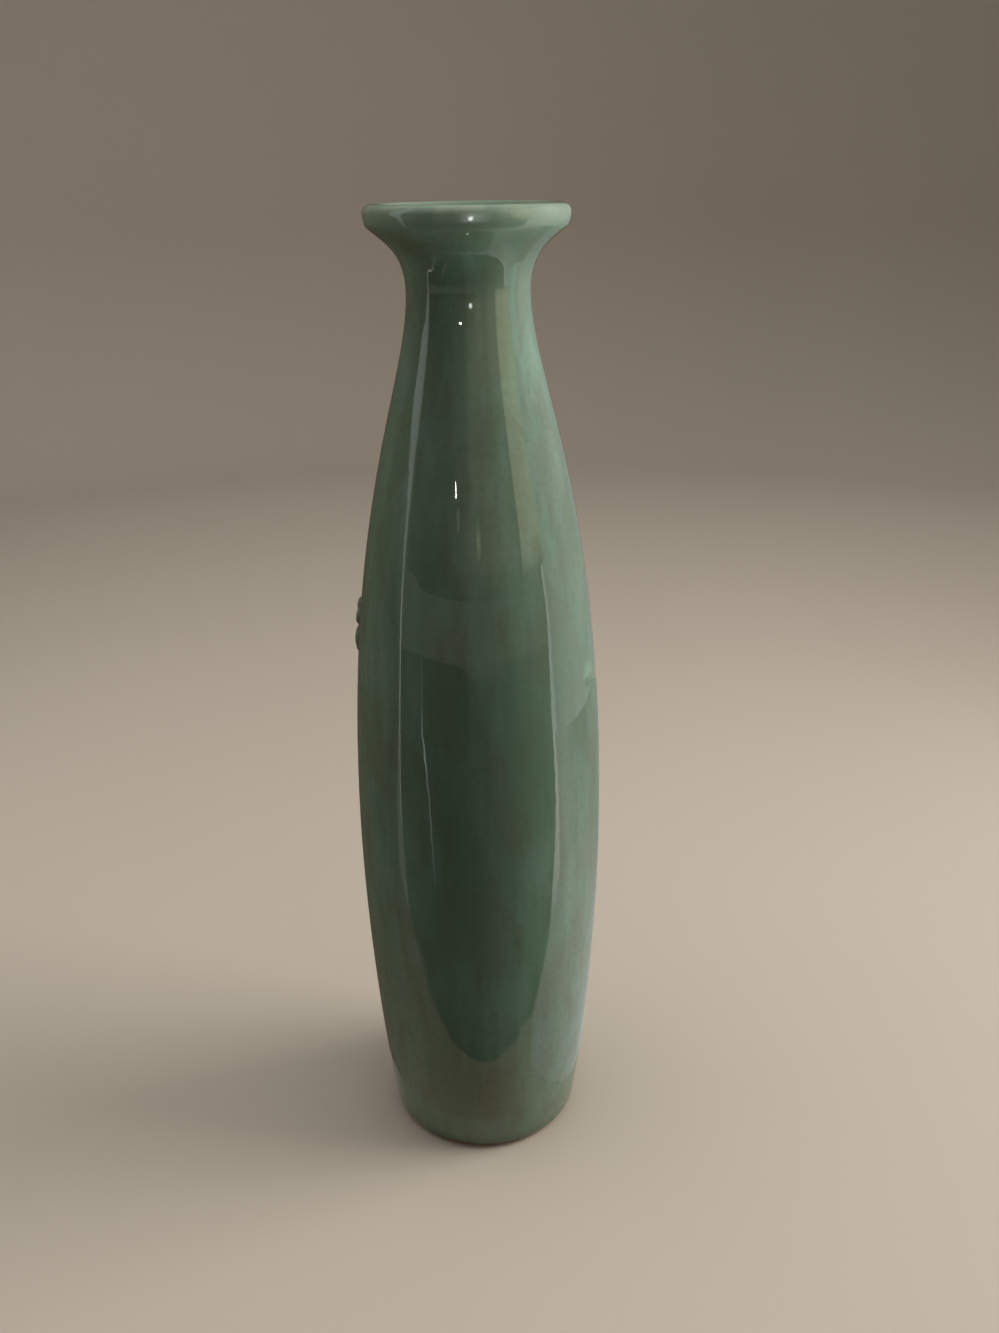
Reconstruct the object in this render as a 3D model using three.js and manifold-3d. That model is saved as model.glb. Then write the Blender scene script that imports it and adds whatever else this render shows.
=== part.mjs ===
// A tall, slender pottery vase in a soft green glaze, on a dry foot of brown clay.
// The clay body is thrown in four sections and luted together with slip. A running vine with two
// open blossoms is pressed on round the far side of the shoulder, and the glaze is cut round it.
// Millimetres, +Z up. The origin is the centre of the foot, on the surface that the vase stands on.
// A place on the wall is a turn in degrees, 0 at -Y and 90 at +X, and a height.

import * as THREE from 'three';
import { mergeVertices } from 'three/addons/utils/BufferGeometryUtils.js';
import Module from 'manifold-3d';

// Heights, stacked from the foot upward
const BELLY_RISE = 113;
const SHOULDER_RISE = 169;
const FLARE_RISE = 17;
const LIP_EDGE_RISE = 3.5;
const LIP_CROWN_RISE = 2.5;

// Outer radii, over the glaze
const FOOT_RADIUS = 31.5;
const BELLY_RADIUS = 39.7;
const NECK_RADIUS = 17.6;
const FLARE_RADIUS = 27.7;
const LIP_RADIUS = 28.6;
const LIP_CROWN_RADIUS = 25.6;

// How far the outline runs on in a line from each of its turning points before it bends away
const HEEL_RUN_OUT = 1.8;
const HEEL_RUN_UP = 1;
const BELLY_RUN_DOWN = 54;
const BELLY_RUN_UP = 110;
const NECK_RUN_DOWN = 25;
const NECK_RUN_UP = 11;
const FLARE_RUN_OUT = 4.4;
const FLARE_RUN_UP = 4;
const LIP_EDGE_RUN_DOWN = 1.3;
const LIP_EDGE_RUN_UP = 1.7;
const LIP_CROWN_RUN_OUT = 1.7;
const LIP_CROWN_RUN_IN = 1.6;
const MOUTH_RUN = 1.8;

// Walls, and the clearances where pieces meet
const CLAY_WALL = 3.6;
const GLAZE_COAT = 0.5;
const LINING_COAT = 0.5;
const GLAZE_SEAT = 0.3;
const SLIP_GAP = 0.3;

// Foot and floor
const DRY_FOOT_HEIGHT = 1.6;
const FOOT_RING_WIDTH = 5;
const FOOT_RING_CHAMFER = 0.6;
const FOOT_RECESS = 2.4;
const FLOOR_THICKNESS = 6;
const FLOOR_FILLET = 7;

// Joints between the thrown sections: how far each stands above the one before, and the lap
const FIRST_JOINT_HEIGHT = 104;
const SECOND_JOINT_ABOVE_FIRST = 116;
const LIP_JOINT_BELOW_FLARE = 2.5;
const LAP_HEIGHT = 7;

// The vine: where its first blossom sits, how far it runs and how it waves
const VINE_START_TURN = -106;
const VINE_START_HEIGHT = 182.8;
const VINE_LENGTH = 94;
const VINE_DROP = 9;
const VINE_WAVE = 3.6;
const VINE_BENDS = 6;
const SECOND_BLOSSOM_BEND = 3;
const BUD_BENDS = [1, 5];
const STRAY_BUD_TURN = 65.5;
const STRAY_BUD_HEIGHT = 172;

// Applied pieces, in sizes measured along the wall
const STEM_HALF_WIDTH = 1.1;
const STEM_CREST = 1.2;
const PETAL_COUNT = 5;
const PETAL_REACH = 12;
const PETAL_HALF_WIDTH = 4.4;
const PETAL_TIP_HALF_WIDTH = 1.9;
const PETAL_CREST = 1.6;
const FIRST_PETAL_ANGLE = 29;
const EYE_RADIUS = 2.3;
const EYE_CREST = 1.9;
const SECOND_BLOSSOM_REACH = 10;
const LEAF_LENGTH = 17;
const LEAF_HALF_WIDTH = 3.6;
const LEAF_TIP_HALF_WIDTH = 0.3;
const LEAF_CREST = 1.4;
const LEAF_SPREAD = 42;
const BLOSSOM_MIDDLE = 6.4;
const BUD_RADIUS = 2.4;
const BUD_CREST = 1.5;
const STRAY_BUD_CREST = 0.8;
const PIECE_GAP = 0.3;
const BUD_GAP = 0.4;
const EDGE_LIFT = 0.35;

// Outlines and domes of the applied pieces, as shares: where along a sine a swell starts and ends,
// how far it leans to the root and how full it is, and how high a dome stands at its root
const PETAL_SWELL = { start: 0.02, end: 0.92, lean: 1.15, fullness: 0.75 };
const PETAL_DOME = { start: 0.02, end: 0.77, root: 0.55 };
const LEAF_SWELL = { lean: 0.8, fullness: 0.9 };
const LEAF_DOME = { start: 0.05, end: 0.95 };
const BOSS_RINGS = [{ reach: 0.72, rise: 0.72 }, { reach: 0.36, rise: 0.94 }];

// How finely the round forms are divided
const ROUND_SEGMENTS = 36;
const OUTLINE_ROWS = [4, 7, 4];
const LIP_ROWS = [1, 2, 3];
const FILLET_ROWS = 2;
const STEM_STEPS_TO_A_BEND = 4;
const PETAL_STEPS = 5;
const LEAF_STEPS = 6;
const PAD_SIDES = [-1, -0.55, 0, 0.55, 1];
const BOSS_SPOKES = 10;
const SEARCH_STEPS = 40;
const ROW_TOLERANCE = 0.002;
const RUN_STEP = 0.01;
const WELD_DISTANCE = 1e-4;

const bellyHeight = BELLY_RISE;
const neckHeight = bellyHeight + SHOULDER_RISE;
const flareHeight = neckHeight + FLARE_RISE;
const lipEdgeHeight = flareHeight + LIP_EDGE_RISE;
const topHeight = lipEdgeHeight + LIP_CROWN_RISE;
const clayOut = GLAZE_COAT + GLAZE_SEAT;
const clayIn = clayOut + CLAY_WALL;
const liningOut = clayIn + GLAZE_SEAT;
const liningIn = liningOut + LINING_COAT;

const spot = (radius, height) => new THREE.Vector2(radius, height);

// Outline of the glazed wall from the foot to the flare under the lip

const outline = [
  new THREE.CubicBezierCurve(
    spot(FOOT_RADIUS, 0),
    spot(FOOT_RADIUS + HEEL_RUN_OUT, HEEL_RUN_UP),
    spot(BELLY_RADIUS, bellyHeight - BELLY_RUN_DOWN),
    spot(BELLY_RADIUS, bellyHeight),
  ),
  new THREE.CubicBezierCurve(
    spot(BELLY_RADIUS, bellyHeight),
    spot(BELLY_RADIUS, bellyHeight + BELLY_RUN_UP),
    spot(NECK_RADIUS, neckHeight - NECK_RUN_DOWN),
    spot(NECK_RADIUS, neckHeight),
  ),
  new THREE.CubicBezierCurve(
    spot(NECK_RADIUS, neckHeight),
    spot(NECK_RADIUS, neckHeight + NECK_RUN_UP),
    spot(FLARE_RADIUS - FLARE_RUN_OUT, flareHeight - FLARE_RUN_UP),
    spot(FLARE_RADIUS, flareHeight),
  ),
];

const pieceAt = (along) => Math.min(Math.floor(along), outline.length - 1);
const wallRun = (along) => outline[pieceAt(along)].getTangent(along - pieceAt(along));

// A point of the outline, from 0 at the foot to 3 at the flare, sunk by a depth into the wall
function wallPoint(along, depth) {
  const place = outline[pieceAt(along)].getPoint(along - pieceAt(along));
  const run = wallRun(along);
  return spot(place.x - run.y * depth, place.y + run.x * depth);
}

// Where the outline has a given height, found by halving
function alongAt(height) {
  let low = 0;
  let high = outline.length;
  for (let step = 0; step < SEARCH_STEPS; step += 1) {
    const middle = (low + high) / 2;
    if (wallPoint(middle, 0).y < height) low = middle;
    else high = middle;
  }
  return (low + high) / 2;
}

const glazeLine = alongAt(DRY_FOOT_HEIGHT);
const firstJoint = alongAt(FIRST_JOINT_HEIGHT);
const firstLap = alongAt(FIRST_JOINT_HEIGHT + LAP_HEIGHT);
const secondJoint = alongAt(FIRST_JOINT_HEIGHT + SECOND_JOINT_ABOVE_FIRST);
const secondLap = alongAt(FIRST_JOINT_HEIGHT + SECOND_JOINT_ABOVE_FIRST + LAP_HEIGHT);
const lipJoint = alongAt(flareHeight - LIP_JOINT_BELOW_FLARE);

// Every layer of the wall bends at the same rows, so the layers stay parallel
const evenRows = OUTLINE_ROWS.flatMap((count, piece) => (
  Array.from({ length: count }, (_, row) => piece + row / count)
));
const jointRows = [firstJoint, secondJoint, lipJoint];
const halfRow = 1 / (2 * OUTLINE_ROWS[1]);
const nearRow = (row) => jointRows.some((joint) => Math.abs(joint - row) < halfRow);
const rows = [...evenRows.filter((row) => Number.isInteger(row) || !nearRow(row)), ...jointRows]
  .sort((a, b) => a - b);

// The wall at one depth, from one place on the outline up to another
function skin(depth, from, to) {
  const between = rows.filter((row) => row > from + ROW_TOLERANCE && row < to - ROW_TOLERANCE);
  return [from, ...between, to].map((row) => wallPoint(row, depth));
}

// Outline of the lip: out to its edge, over the crown and in to the mouth

const mouthEdge = wallPoint(lipJoint, liningIn);
const mouthRun = wallRun(lipJoint).multiplyScalar(MOUTH_RUN);
const flareRun = wallRun(outline.length).multiplyScalar(LIP_EDGE_RUN_DOWN / 2);
const lip = [
  new THREE.CubicBezierCurve(
    spot(FLARE_RADIUS, flareHeight),
    spot(FLARE_RADIUS, flareHeight).add(flareRun),
    spot(LIP_RADIUS, lipEdgeHeight - LIP_EDGE_RUN_DOWN),
    spot(LIP_RADIUS, lipEdgeHeight),
  ),
  new THREE.CubicBezierCurve(
    spot(LIP_RADIUS, lipEdgeHeight),
    spot(LIP_RADIUS, lipEdgeHeight + LIP_EDGE_RUN_UP),
    spot(LIP_CROWN_RADIUS + LIP_CROWN_RUN_OUT, topHeight),
    spot(LIP_CROWN_RADIUS, topHeight),
  ),
  new THREE.CubicBezierCurve(
    spot(LIP_CROWN_RADIUS, topHeight),
    spot(LIP_CROWN_RADIUS - LIP_CROWN_RUN_IN, topHeight),
    mouthEdge.clone().add(mouthRun),
    mouthEdge,
  ),
];

// The lip at one depth, from just past the flare to the mouth
function lipSkin(depth) {
  return lip.flatMap((curve, piece) => (
    Array.from({ length: LIP_ROWS[piece] }, (_, row) => {
      const along = (row + 1) / LIP_ROWS[piece];
      const place = curve.getPoint(along);
      const run = curve.getTangent(along);
      return spot(place.x - run.y * depth, place.y + run.x * depth);
    })
  ));
}

// Turns a profile about the vase's axis, with turn 0 at -Y
function revolve(profile) {
  const shape = new THREE.LatheGeometry(profile, ROUND_SEGMENTS);
  shape.rotateX(Math.PI / 2);
  return shape;
}

const closed = (profile) => [...profile, profile[0].clone()];

// The floor's rounded corner, from flat at its inner end to the wall at one depth
function floorCorner(floorHeight, depth) {
  const top = wallPoint(alongAt(floorHeight + FLOOR_FILLET), depth);
  const corner = spot(wallPoint(alongAt(floorHeight), depth).x, floorHeight);
  const start = spot(corner.x - FLOOR_FILLET, floorHeight);
  return new THREE.QuadraticBezierCurve(start, corner, top).getPoints(FILLET_ROWS);
}

// The clay sections
// Each joint is a lap: the section below ends in an inner tongue, the one above in an outer skirt

const lapOut = clayOut + (CLAY_WALL - SLIP_GAP) / 2;
const lapIn = lapOut + SLIP_GAP;
const pastJoint = (joint) => alongAt(wallPoint(joint, 0).y + SLIP_GAP);

function tongue(joint, lap) {
  return [...skin(lapIn, joint, lap), wallPoint(lap, clayIn)];
}

function skirt(joint, lap) {
  return [wallPoint(pastJoint(lap), lapOut), ...skin(lapOut, pastJoint(joint), lap).reverse()];
}

function baseSection() {
  const floorTop = FOOT_RECESS + FLOOR_THICKNESS;
  const corner = floorCorner(floorTop, clayIn);
  const footOut = wallPoint(glazeLine, clayOut);
  const footIn = footOut.x - FOOT_RING_WIDTH;
  return revolve([
    spot(0, FOOT_RECESS),
    spot(footIn - FOOT_RING_CHAMFER, FOOT_RECESS),
    spot(footIn, FOOT_RING_CHAMFER),
    spot(footIn + FOOT_RING_CHAMFER, 0),
    spot(footOut.x - FOOT_RING_CHAMFER * 2, 0),
    spot(footOut.x - FOOT_RING_CHAMFER, FOOT_RING_CHAMFER),
    ...skin(clayOut, glazeLine, firstJoint),
    ...tongue(firstJoint, firstLap),
    ...skin(clayIn, alongAt(floorTop + FLOOR_FILLET), firstLap).reverse().slice(1, -1),
    ...corner.reverse(),
    spot(0, floorTop),
  ]);
}

function shoulderSection() {
  return revolve(closed([
    ...skin(clayOut, pastJoint(firstJoint), secondJoint),
    ...tongue(secondJoint, secondLap),
    ...skin(clayIn, pastJoint(firstLap), secondLap).reverse().slice(1),
    ...skirt(firstJoint, firstLap),
  ]));
}

function neckSection() {
  return revolve(closed([
    ...skin(clayOut, pastJoint(secondJoint), lipJoint),
    ...skin(clayIn, pastJoint(secondLap), lipJoint).reverse(),
    ...skirt(secondJoint, secondLap),
  ]));
}

function lipRing() {
  const seat = pastJoint(lipJoint);
  return revolve(closed([
    ...skin(clayOut, seat, outline.length),
    ...lipSkin(clayOut).slice(0, -1),
    wallPoint(seat, clayIn),
  ]));
}

// The glaze: one coat outside and over the lip, and a lining that pools on the floor

function outerCoat() {
  return revolve(closed([
    ...skin(0, glazeLine, outline.length),
    ...lipSkin(0),
    ...lipSkin(GLAZE_COAT).reverse(),
    ...skin(GLAZE_COAT, glazeLine, outline.length).reverse(),
  ]));
}

function liningCoat() {
  const under = FOOT_RECESS + FLOOR_THICKNESS + GLAZE_SEAT;
  const over = under + LINING_COAT;
  const rim = alongAt(flareHeight - LIP_JOINT_BELOW_FLARE - GLAZE_SEAT);
  return revolve([
    spot(0, under),
    ...floorCorner(under, liningOut),
    ...skin(liningOut, alongAt(under + FLOOR_FILLET), rim).slice(1),
    ...skin(liningIn, alongAt(over + FLOOR_FILLET), rim).reverse().slice(0, -1),
    ...floorCorner(over, liningIn).reverse(),
    spot(0, over),
  ]);
}

// The applied pieces
// Each lies on the unrolled wall, x along the wall to the right and y up, from the vine's start

const vineRadius = wallPoint(alongAt(VINE_START_HEIGHT), 0).x;

// A place on the unrolled wall, carried onto the round wall and lifted off the glaze
function onWall(place, lift) {
  const turn = THREE.MathUtils.degToRad(VINE_START_TURN) + place.x / vineRadius;
  const wall = wallPoint(alongAt(VINE_START_HEIGHT + place.y), -lift);
  return new THREE.Vector3(wall.x * Math.sin(turn), -wall.x * Math.cos(turn), wall.y);
}

// The vine runs from right to left, out of the first blossom and round the far side
function vinePlace(along) {
  const wave = Math.sin((along / VINE_LENGTH) * VINE_BENDS * Math.PI);
  return spot(-along, -(along / VINE_LENGTH) * VINE_DROP + VINE_WAVE * wave);
}

const bendAlong = (bend) => ((bend + 0.5) * VINE_LENGTH) / VINE_BENDS;
const outside = (bend) => (bend % 2 ? 1 : -1);

function vineRun(along) {
  const waves = VINE_BENDS * Math.PI;
  const climb = VINE_WAVE * waves * Math.cos((along / VINE_LENGTH) * waves);
  return spot(-VINE_LENGTH, climb - VINE_DROP).normalize();
}

// A closed skin from a grid of points above and the same grid below
function slab(above, below, across) {
  const count = above.length;
  const faces = [];
  const last = count / across - 1;
  const quad = (a, b, c, d) => faces.push(a, b, c, a, c, d);
  for (let row = 0; row < last; row += 1) {
    for (let column = 0; column < across - 1; column += 1) {
      const corner = row * across + column;
      quad(corner, corner + across, corner + across + 1, corner + 1);
      const under = corner + count;
      quad(under, under + 1, under + across + 1, under + across);
    }
    const left = row * across;
    const right = left + across - 1;
    quad(left, left + count, left + across + count, left + across);
    quad(right, right + across, right + across + count, right + count);
  }
  for (let column = 0; column < across - 1; column += 1) {
    const far = last * across + column;
    quad(column, column + 1, column + 1 + count, column + count);
    quad(far, far + count, far + 1 + count, far + 1);
  }
  const shape = new THREE.BufferGeometry().setFromPoints([...above, ...below]);
  shape.setIndex(faces);
  return shape;
}

// A pad of clay along a line on the wall, with a half width and a crest that vary along it.
// Grown, it is the window that the glaze leaves round the pad.
function pad({ line, halfWidth, crest, steps, grown }) {
  const sides = grown ? [-1, 1] : PAD_SIDES;
  const above = [];
  const below = [];
  for (let step = 0; step <= steps; step += 1) {
    const along = step / steps;
    const before = line(Math.max(along - RUN_STEP, 0));
    const run = line(Math.min(along + RUN_STEP, 1)).sub(before).normalize();
    const place = line(along);
    if (grown && step === 0) place.addScaledVector(run, -PIECE_GAP);
    if (grown && step === steps) place.addScaledVector(run, PIECE_GAP);
    const reach = halfWidth(along) + (grown ? PIECE_GAP : 0);
    for (const side of sides) {
      const spread = spot(place.x - run.y * side * reach, place.y + run.x * side * reach);
      const dome = EDGE_LIFT + (crest(along) - EDGE_LIFT) * Math.sqrt(1 - side * side);
      above.push(onWall(spread, grown ? clayOut : dome));
      below.push(onWall(spread, grown ? -clayIn : -GLAZE_COAT));
    }
  }
  return slab(above, below, sides.length);
}

// A round boss of clay on the wall, such as a bud or the eye of a blossom
function boss({ centre, radius, crest, grown }) {
  const reach = radius + (grown ? PIECE_GAP : 0);
  const rings = [
    [1, -GLAZE_COAT],
    [1, EDGE_LIFT],
    ...BOSS_RINGS.map((ring) => [ring.reach, ring.rise * crest]),
  ];
  const windowRings = [[1, -clayIn], [1, clayOut]];
  const used = grown ? windowRings : rings;
  const points = used.flatMap(([share, lift]) => Array.from({ length: BOSS_SPOKES }, (_, spoke) => {
    const angle = (spoke / BOSS_SPOKES) * 2 * Math.PI;
    const place = spot(reach * share * Math.cos(angle), reach * share * Math.sin(angle));
    return onWall(place.add(centre), lift);
  }));
  const bottom = points.length;
  points.push(onWall(centre, used[0][1]), onWall(centre, grown ? clayOut : crest));
  const faces = [];
  for (let spoke = 0; spoke < BOSS_SPOKES; spoke += 1) {
    const next = (spoke + 1) % BOSS_SPOKES;
    const topRing = (used.length - 1) * BOSS_SPOKES;
    faces.push(bottom, next, spoke, bottom + 1, topRing + spoke, topRing + next);
    for (let ring = 0; ring < used.length - 1; ring += 1) {
      const low = ring * BOSS_SPOKES;
      faces.push(low + spoke, low + next, low + BOSS_SPOKES + next);
      faces.push(low + spoke, low + BOSS_SPOKES + next, low + BOSS_SPOKES + spoke);
    }
  }
  const shape = new THREE.BufferGeometry().setFromPoints(points);
  shape.setIndex(faces);
  return shape;
}

// A straight line on the wall from a start, at an angle in degrees, as a function of 0 to 1
function ray(start, angle, from, to) {
  const run = spot(Math.cos(THREE.MathUtils.degToRad(angle)), Math.sin(THREE.MathUtils.degToRad(angle)));
  return (along) => start.clone().addScaledVector(run, from + (to - from) * along);
}

// A share of the way along a sine, from one share of its arch to another
const arch = (along, { start, end }) => Math.sin(Math.PI * THREE.MathUtils.lerp(start, end, along));

function petal(centre, reach, angle) {
  const scale = reach / PETAL_REACH;
  const start = EYE_RADIUS * scale + PIECE_GAP;
  const root = Math.tan(Math.PI / PETAL_COUNT) * start - PIECE_GAP;
  const full = PETAL_HALF_WIDTH * scale;
  const tip = PETAL_TIP_HALF_WIDTH * scale;
  return {
    line: ray(centre, angle, start, reach),
    halfWidth: (along) => {
      const share = THREE.MathUtils.lerp(PETAL_SWELL.start, PETAL_SWELL.end, along);
      const swell = Math.sin(Math.PI * share ** PETAL_SWELL.lean) ** PETAL_SWELL.fullness;
      return THREE.MathUtils.lerp(root, tip, along) * (1 - swell) + full * swell;
    },
    crest: (along) => PETAL_CREST * THREE.MathUtils.lerp(PETAL_DOME.root, 1, arch(along, PETAL_DOME)),
    steps: PETAL_STEPS,
  };
}

// A leaf springs from the outside of a bend
function leaf(bend) {
  const along = bendAlong(bend);
  const run = vineRun(along);
  const angle = THREE.MathUtils.radToDeg(Math.atan2(run.y, run.x)) + outside(bend) * LEAF_SPREAD;
  const spread = THREE.MathUtils.degToRad(LEAF_SPREAD);
  const start = (STEM_HALF_WIDTH + LEAF_TIP_HALF_WIDTH + PIECE_GAP * 2) / Math.sin(spread);
  return {
    line: ray(vinePlace(along), angle, start, start + LEAF_LENGTH),
    halfWidth: (share) => {
      const swell = Math.sin(Math.PI * share ** LEAF_SWELL.lean) ** LEAF_SWELL.fullness;
      return THREE.MathUtils.lerp(LEAF_TIP_HALF_WIDTH, LEAF_HALF_WIDTH, swell);
    },
    crest: (share) => THREE.MathUtils.lerp(EDGE_LIFT, LEAF_CREST, arch(share, LEAF_DOME)),
    steps: LEAF_STEPS,
  };
}

function stem(from, to) {
  return {
    line: (along) => vinePlace(from + (to - from) * along),
    halfWidth: () => STEM_HALF_WIDTH,
    crest: () => STEM_CREST,
    steps: Math.round(((to - from) * VINE_BENDS * STEM_STEPS_TO_A_BEND) / VINE_LENGTH),
  };
}

// A bud sits on the inside of a bend
function bud(bend) {
  const run = vineRun(bendAlong(bend));
  const standOff = STEM_HALF_WIDTH + BUD_RADIUS + BUD_GAP;
  const centre = vinePlace(bendAlong(bend))
    .addScaledVector(spot(-run.y, run.x), -outside(bend) * standOff);
  return { centre, radius: BUD_RADIUS, crest: BUD_CREST };
}

// The pieces of the vine, each with its name, its form and what it is made as.
// The glaze also leaves the middle of each blossom bare, where its petals meet.

const vine = [];
const middles = [];

function addBlossom(number, along, reach) {
  const centre = vinePlace(along);
  for (let count = 0; count < PETAL_COUNT; count += 1) {
    const angle = FIRST_PETAL_ANGLE + (360 / PETAL_COUNT) * count;
    const form = petal(centre, reach, angle);
    vine.push({ name: `blossom_${number}_petal_${count + 1}`, form, make: pad, finish: 'blossom' });
  }
  const eye = { centre, radius: (EYE_RADIUS * reach) / PETAL_REACH, crest: EYE_CREST };
  middles.push({ centre, radius: (BLOSSOM_MIDDLE * reach) / PETAL_REACH, crest: EYE_CREST });
  vine.push({ name: `blossom_${number}_eye`, form: eye, make: boss, finish: 'blossom' });
}

const secondAlong = bendAlong(SECOND_BLOSSOM_BEND);
addBlossom(1, 0, PETAL_REACH);
addBlossom(2, secondAlong, SECOND_BLOSSOM_REACH);

function addStem(number, from, to) {
  vine.push({ name: `stem_${number}`, form: stem(from, to), make: pad, finish: 'stem' });
}

// A stem leaves a blossom at a slant, so its end stands off by its half width too
const stemGap = STEM_HALF_WIDTH + PIECE_GAP;
addStem(1, PETAL_REACH + stemGap, secondAlong - SECOND_BLOSSOM_REACH - stemGap);
addStem(2, secondAlong + SECOND_BLOSSOM_REACH + stemGap, VINE_LENGTH - BUD_RADIUS - stemGap);

// Every bend past the first blossom bears a leaf, apart from the one that the second covers
const leafBends = Array.from({ length: VINE_BENDS - 1 }, (_, bend) => bend + 1)
  .filter((bend) => bend !== SECOND_BLOSSOM_BEND);
leafBends.forEach((bend, count) => {
  vine.push({ name: `leaf_${count + 1}`, form: leaf(bend), make: pad, finish: 'leaf' });
});
BUD_BENDS.forEach((bend, count) => {
  vine.push({ name: `bud_${count + 1}`, form: bud(bend), make: boss, finish: 'blossom' });
});
const endBud = { centre: vinePlace(VINE_LENGTH), radius: BUD_RADIUS, crest: BUD_CREST };
vine.push({ name: 'end_bud', form: endBud, make: boss, finish: 'blossom' });

// One flat bud stands by itself past the end of the vine
const strayAlong = THREE.MathUtils.degToRad(STRAY_BUD_TURN - VINE_START_TURN) * vineRadius;
const strayBud = {
  centre: spot(strayAlong, STRAY_BUD_HEIGHT - VINE_START_HEIGHT),
  radius: BUD_RADIUS,
  crest: STRAY_BUD_CREST,
};
vine.push({ name: 'stray_bud', form: strayBud, make: boss, finish: 'blossom' });

// Cutting the windows for the vine out of the outer coat

const wasm = await Module();
wasm.setup();

function toSolid(shape) {
  const bare = shape.clone();
  bare.deleteAttribute('normal');
  bare.deleteAttribute('uv');
  const welded = mergeVertices(bare, WELD_DISTANCE);
  return new wasm.Manifold(new wasm.Mesh({
    numProp: 3,
    vertProperties: new Float32Array(welded.attributes.position.array),
    triVerts: new Uint32Array(welded.index.array),
  }));
}

function toShape(solid) {
  const mesh = solid.getMesh();
  const shape = new THREE.BufferGeometry();
  shape.setAttribute('position', new THREE.BufferAttribute(mesh.vertProperties, 3));
  shape.setIndex(new THREE.BufferAttribute(mesh.triVerts, 1));
  return shape;
}

function cutCoat() {
  const windows = [
    ...vine.map(({ form, make }) => make({ ...form, grown: true })),
    ...middles.map((middle) => boss({ ...middle, grown: true })),
  ].map(toSolid);
  const opening = windows.reduce((whole, window) => whole.add(window));
  return toShape(toSolid(outerCoat()).subtract(opening));
}

// Finishes, and the assembly

const finishes = {
  clay: new THREE.MeshStandardMaterial({ color: 0x9a6a48, roughness: 0.9, metalness: 0 }),
  glaze: new THREE.MeshStandardMaterial({ color: 0x5f7f6a, roughness: 0.18, metalness: 0 }),
  lining: new THREE.MeshStandardMaterial({ color: 0x6f8a74, roughness: 0.22, metalness: 0 }),
  blossom: new THREE.MeshStandardMaterial({ color: 0x8a9c80, roughness: 0.2, metalness: 0 }),
  leaf: new THREE.MeshStandardMaterial({ color: 0x5c7a62, roughness: 0.2, metalness: 0 }),
  stem: new THREE.MeshStandardMaterial({ color: 0x6b6248, roughness: 0.25, metalness: 0 }),
};

const vase = new THREE.Group();

function addPiece(name, shape, finish) {
  const mesh = new THREE.Mesh(shape, finishes[finish]);
  mesh.name = name;
  shape.computeVertexNormals();
  vase.add(mesh);
}

addPiece('base_section', baseSection(), 'clay');
addPiece('shoulder_section', shoulderSection(), 'clay');
addPiece('neck_section', neckSection(), 'clay');
addPiece('lip_ring', lipRing(), 'clay');
addPiece('outer_glaze', cutCoat(), 'glaze');
addPiece('lining_glaze', liningCoat(), 'lining');
for (const { name, form, make, finish } of vine) addPiece(name, make(form), finish);

export default vase;
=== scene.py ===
# %% [markdown]
# # A glazed pottery vase, from the outline to the shine
# The vase is one round body of clay under a thick, glossy green glaze. Its clay sections, its glaze
# coats and its applied vine are already laid out as solids in the frame, at their real size. This
# lesson gives each of them the surface that the eye sees: a wall with the small unevenness of
# throwing, a glaze that runs, pools and thins, and a bare clay foot.

# %% Load the frame
import math

import bpy
import numpy as np
from mathutils import Matrix, Vector


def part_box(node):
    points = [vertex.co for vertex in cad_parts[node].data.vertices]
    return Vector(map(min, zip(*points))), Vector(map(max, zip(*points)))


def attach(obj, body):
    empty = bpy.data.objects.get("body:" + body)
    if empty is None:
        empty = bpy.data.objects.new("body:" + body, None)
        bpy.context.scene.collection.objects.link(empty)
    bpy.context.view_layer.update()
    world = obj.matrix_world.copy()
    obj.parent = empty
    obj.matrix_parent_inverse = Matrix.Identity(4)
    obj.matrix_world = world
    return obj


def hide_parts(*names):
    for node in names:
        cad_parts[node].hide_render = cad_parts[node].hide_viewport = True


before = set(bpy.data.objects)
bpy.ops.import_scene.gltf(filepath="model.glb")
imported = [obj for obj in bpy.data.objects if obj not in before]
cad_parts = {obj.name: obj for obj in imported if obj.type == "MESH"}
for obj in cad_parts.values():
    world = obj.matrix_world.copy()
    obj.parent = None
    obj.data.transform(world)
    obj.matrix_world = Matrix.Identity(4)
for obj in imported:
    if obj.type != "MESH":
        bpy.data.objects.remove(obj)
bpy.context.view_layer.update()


MM = 0.001

# %% [markdown]
# ## The camera
# The camera stands just above the lip and looks down at the vase, so the lip is seen nearly edge on
# and the foot from above. The lens follows from how fast the upright lines draw together.

# %% Camera
SENSOR = 36.0
FOCAL_PIXELS = 1174.0
PICTURE_HEIGHT = 1333.0
EYE_DISTANCE = 343.6 * MM
EYE_HEIGHT = 311.6 * MM
EYE_DOWN = math.radians(22.69)
EYE_ASIDE = math.radians(1.20)
EYE_ROLL = math.radians(0.80)
NEAREST = 0.01


def turned_by(angle, axis):
    """A turn about one axis, as a matrix."""
    return Matrix.Rotation(angle, 4, axis)


def moved_by(x, y, z):
    """A move in millimetres, as a matrix."""
    return Matrix.Translation(Vector((x, y, z)) * MM)


def show(piece):
    """Puts an object into the scene, and hands it back."""
    bpy.context.scene.collection.objects.link(piece)
    return piece


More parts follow.
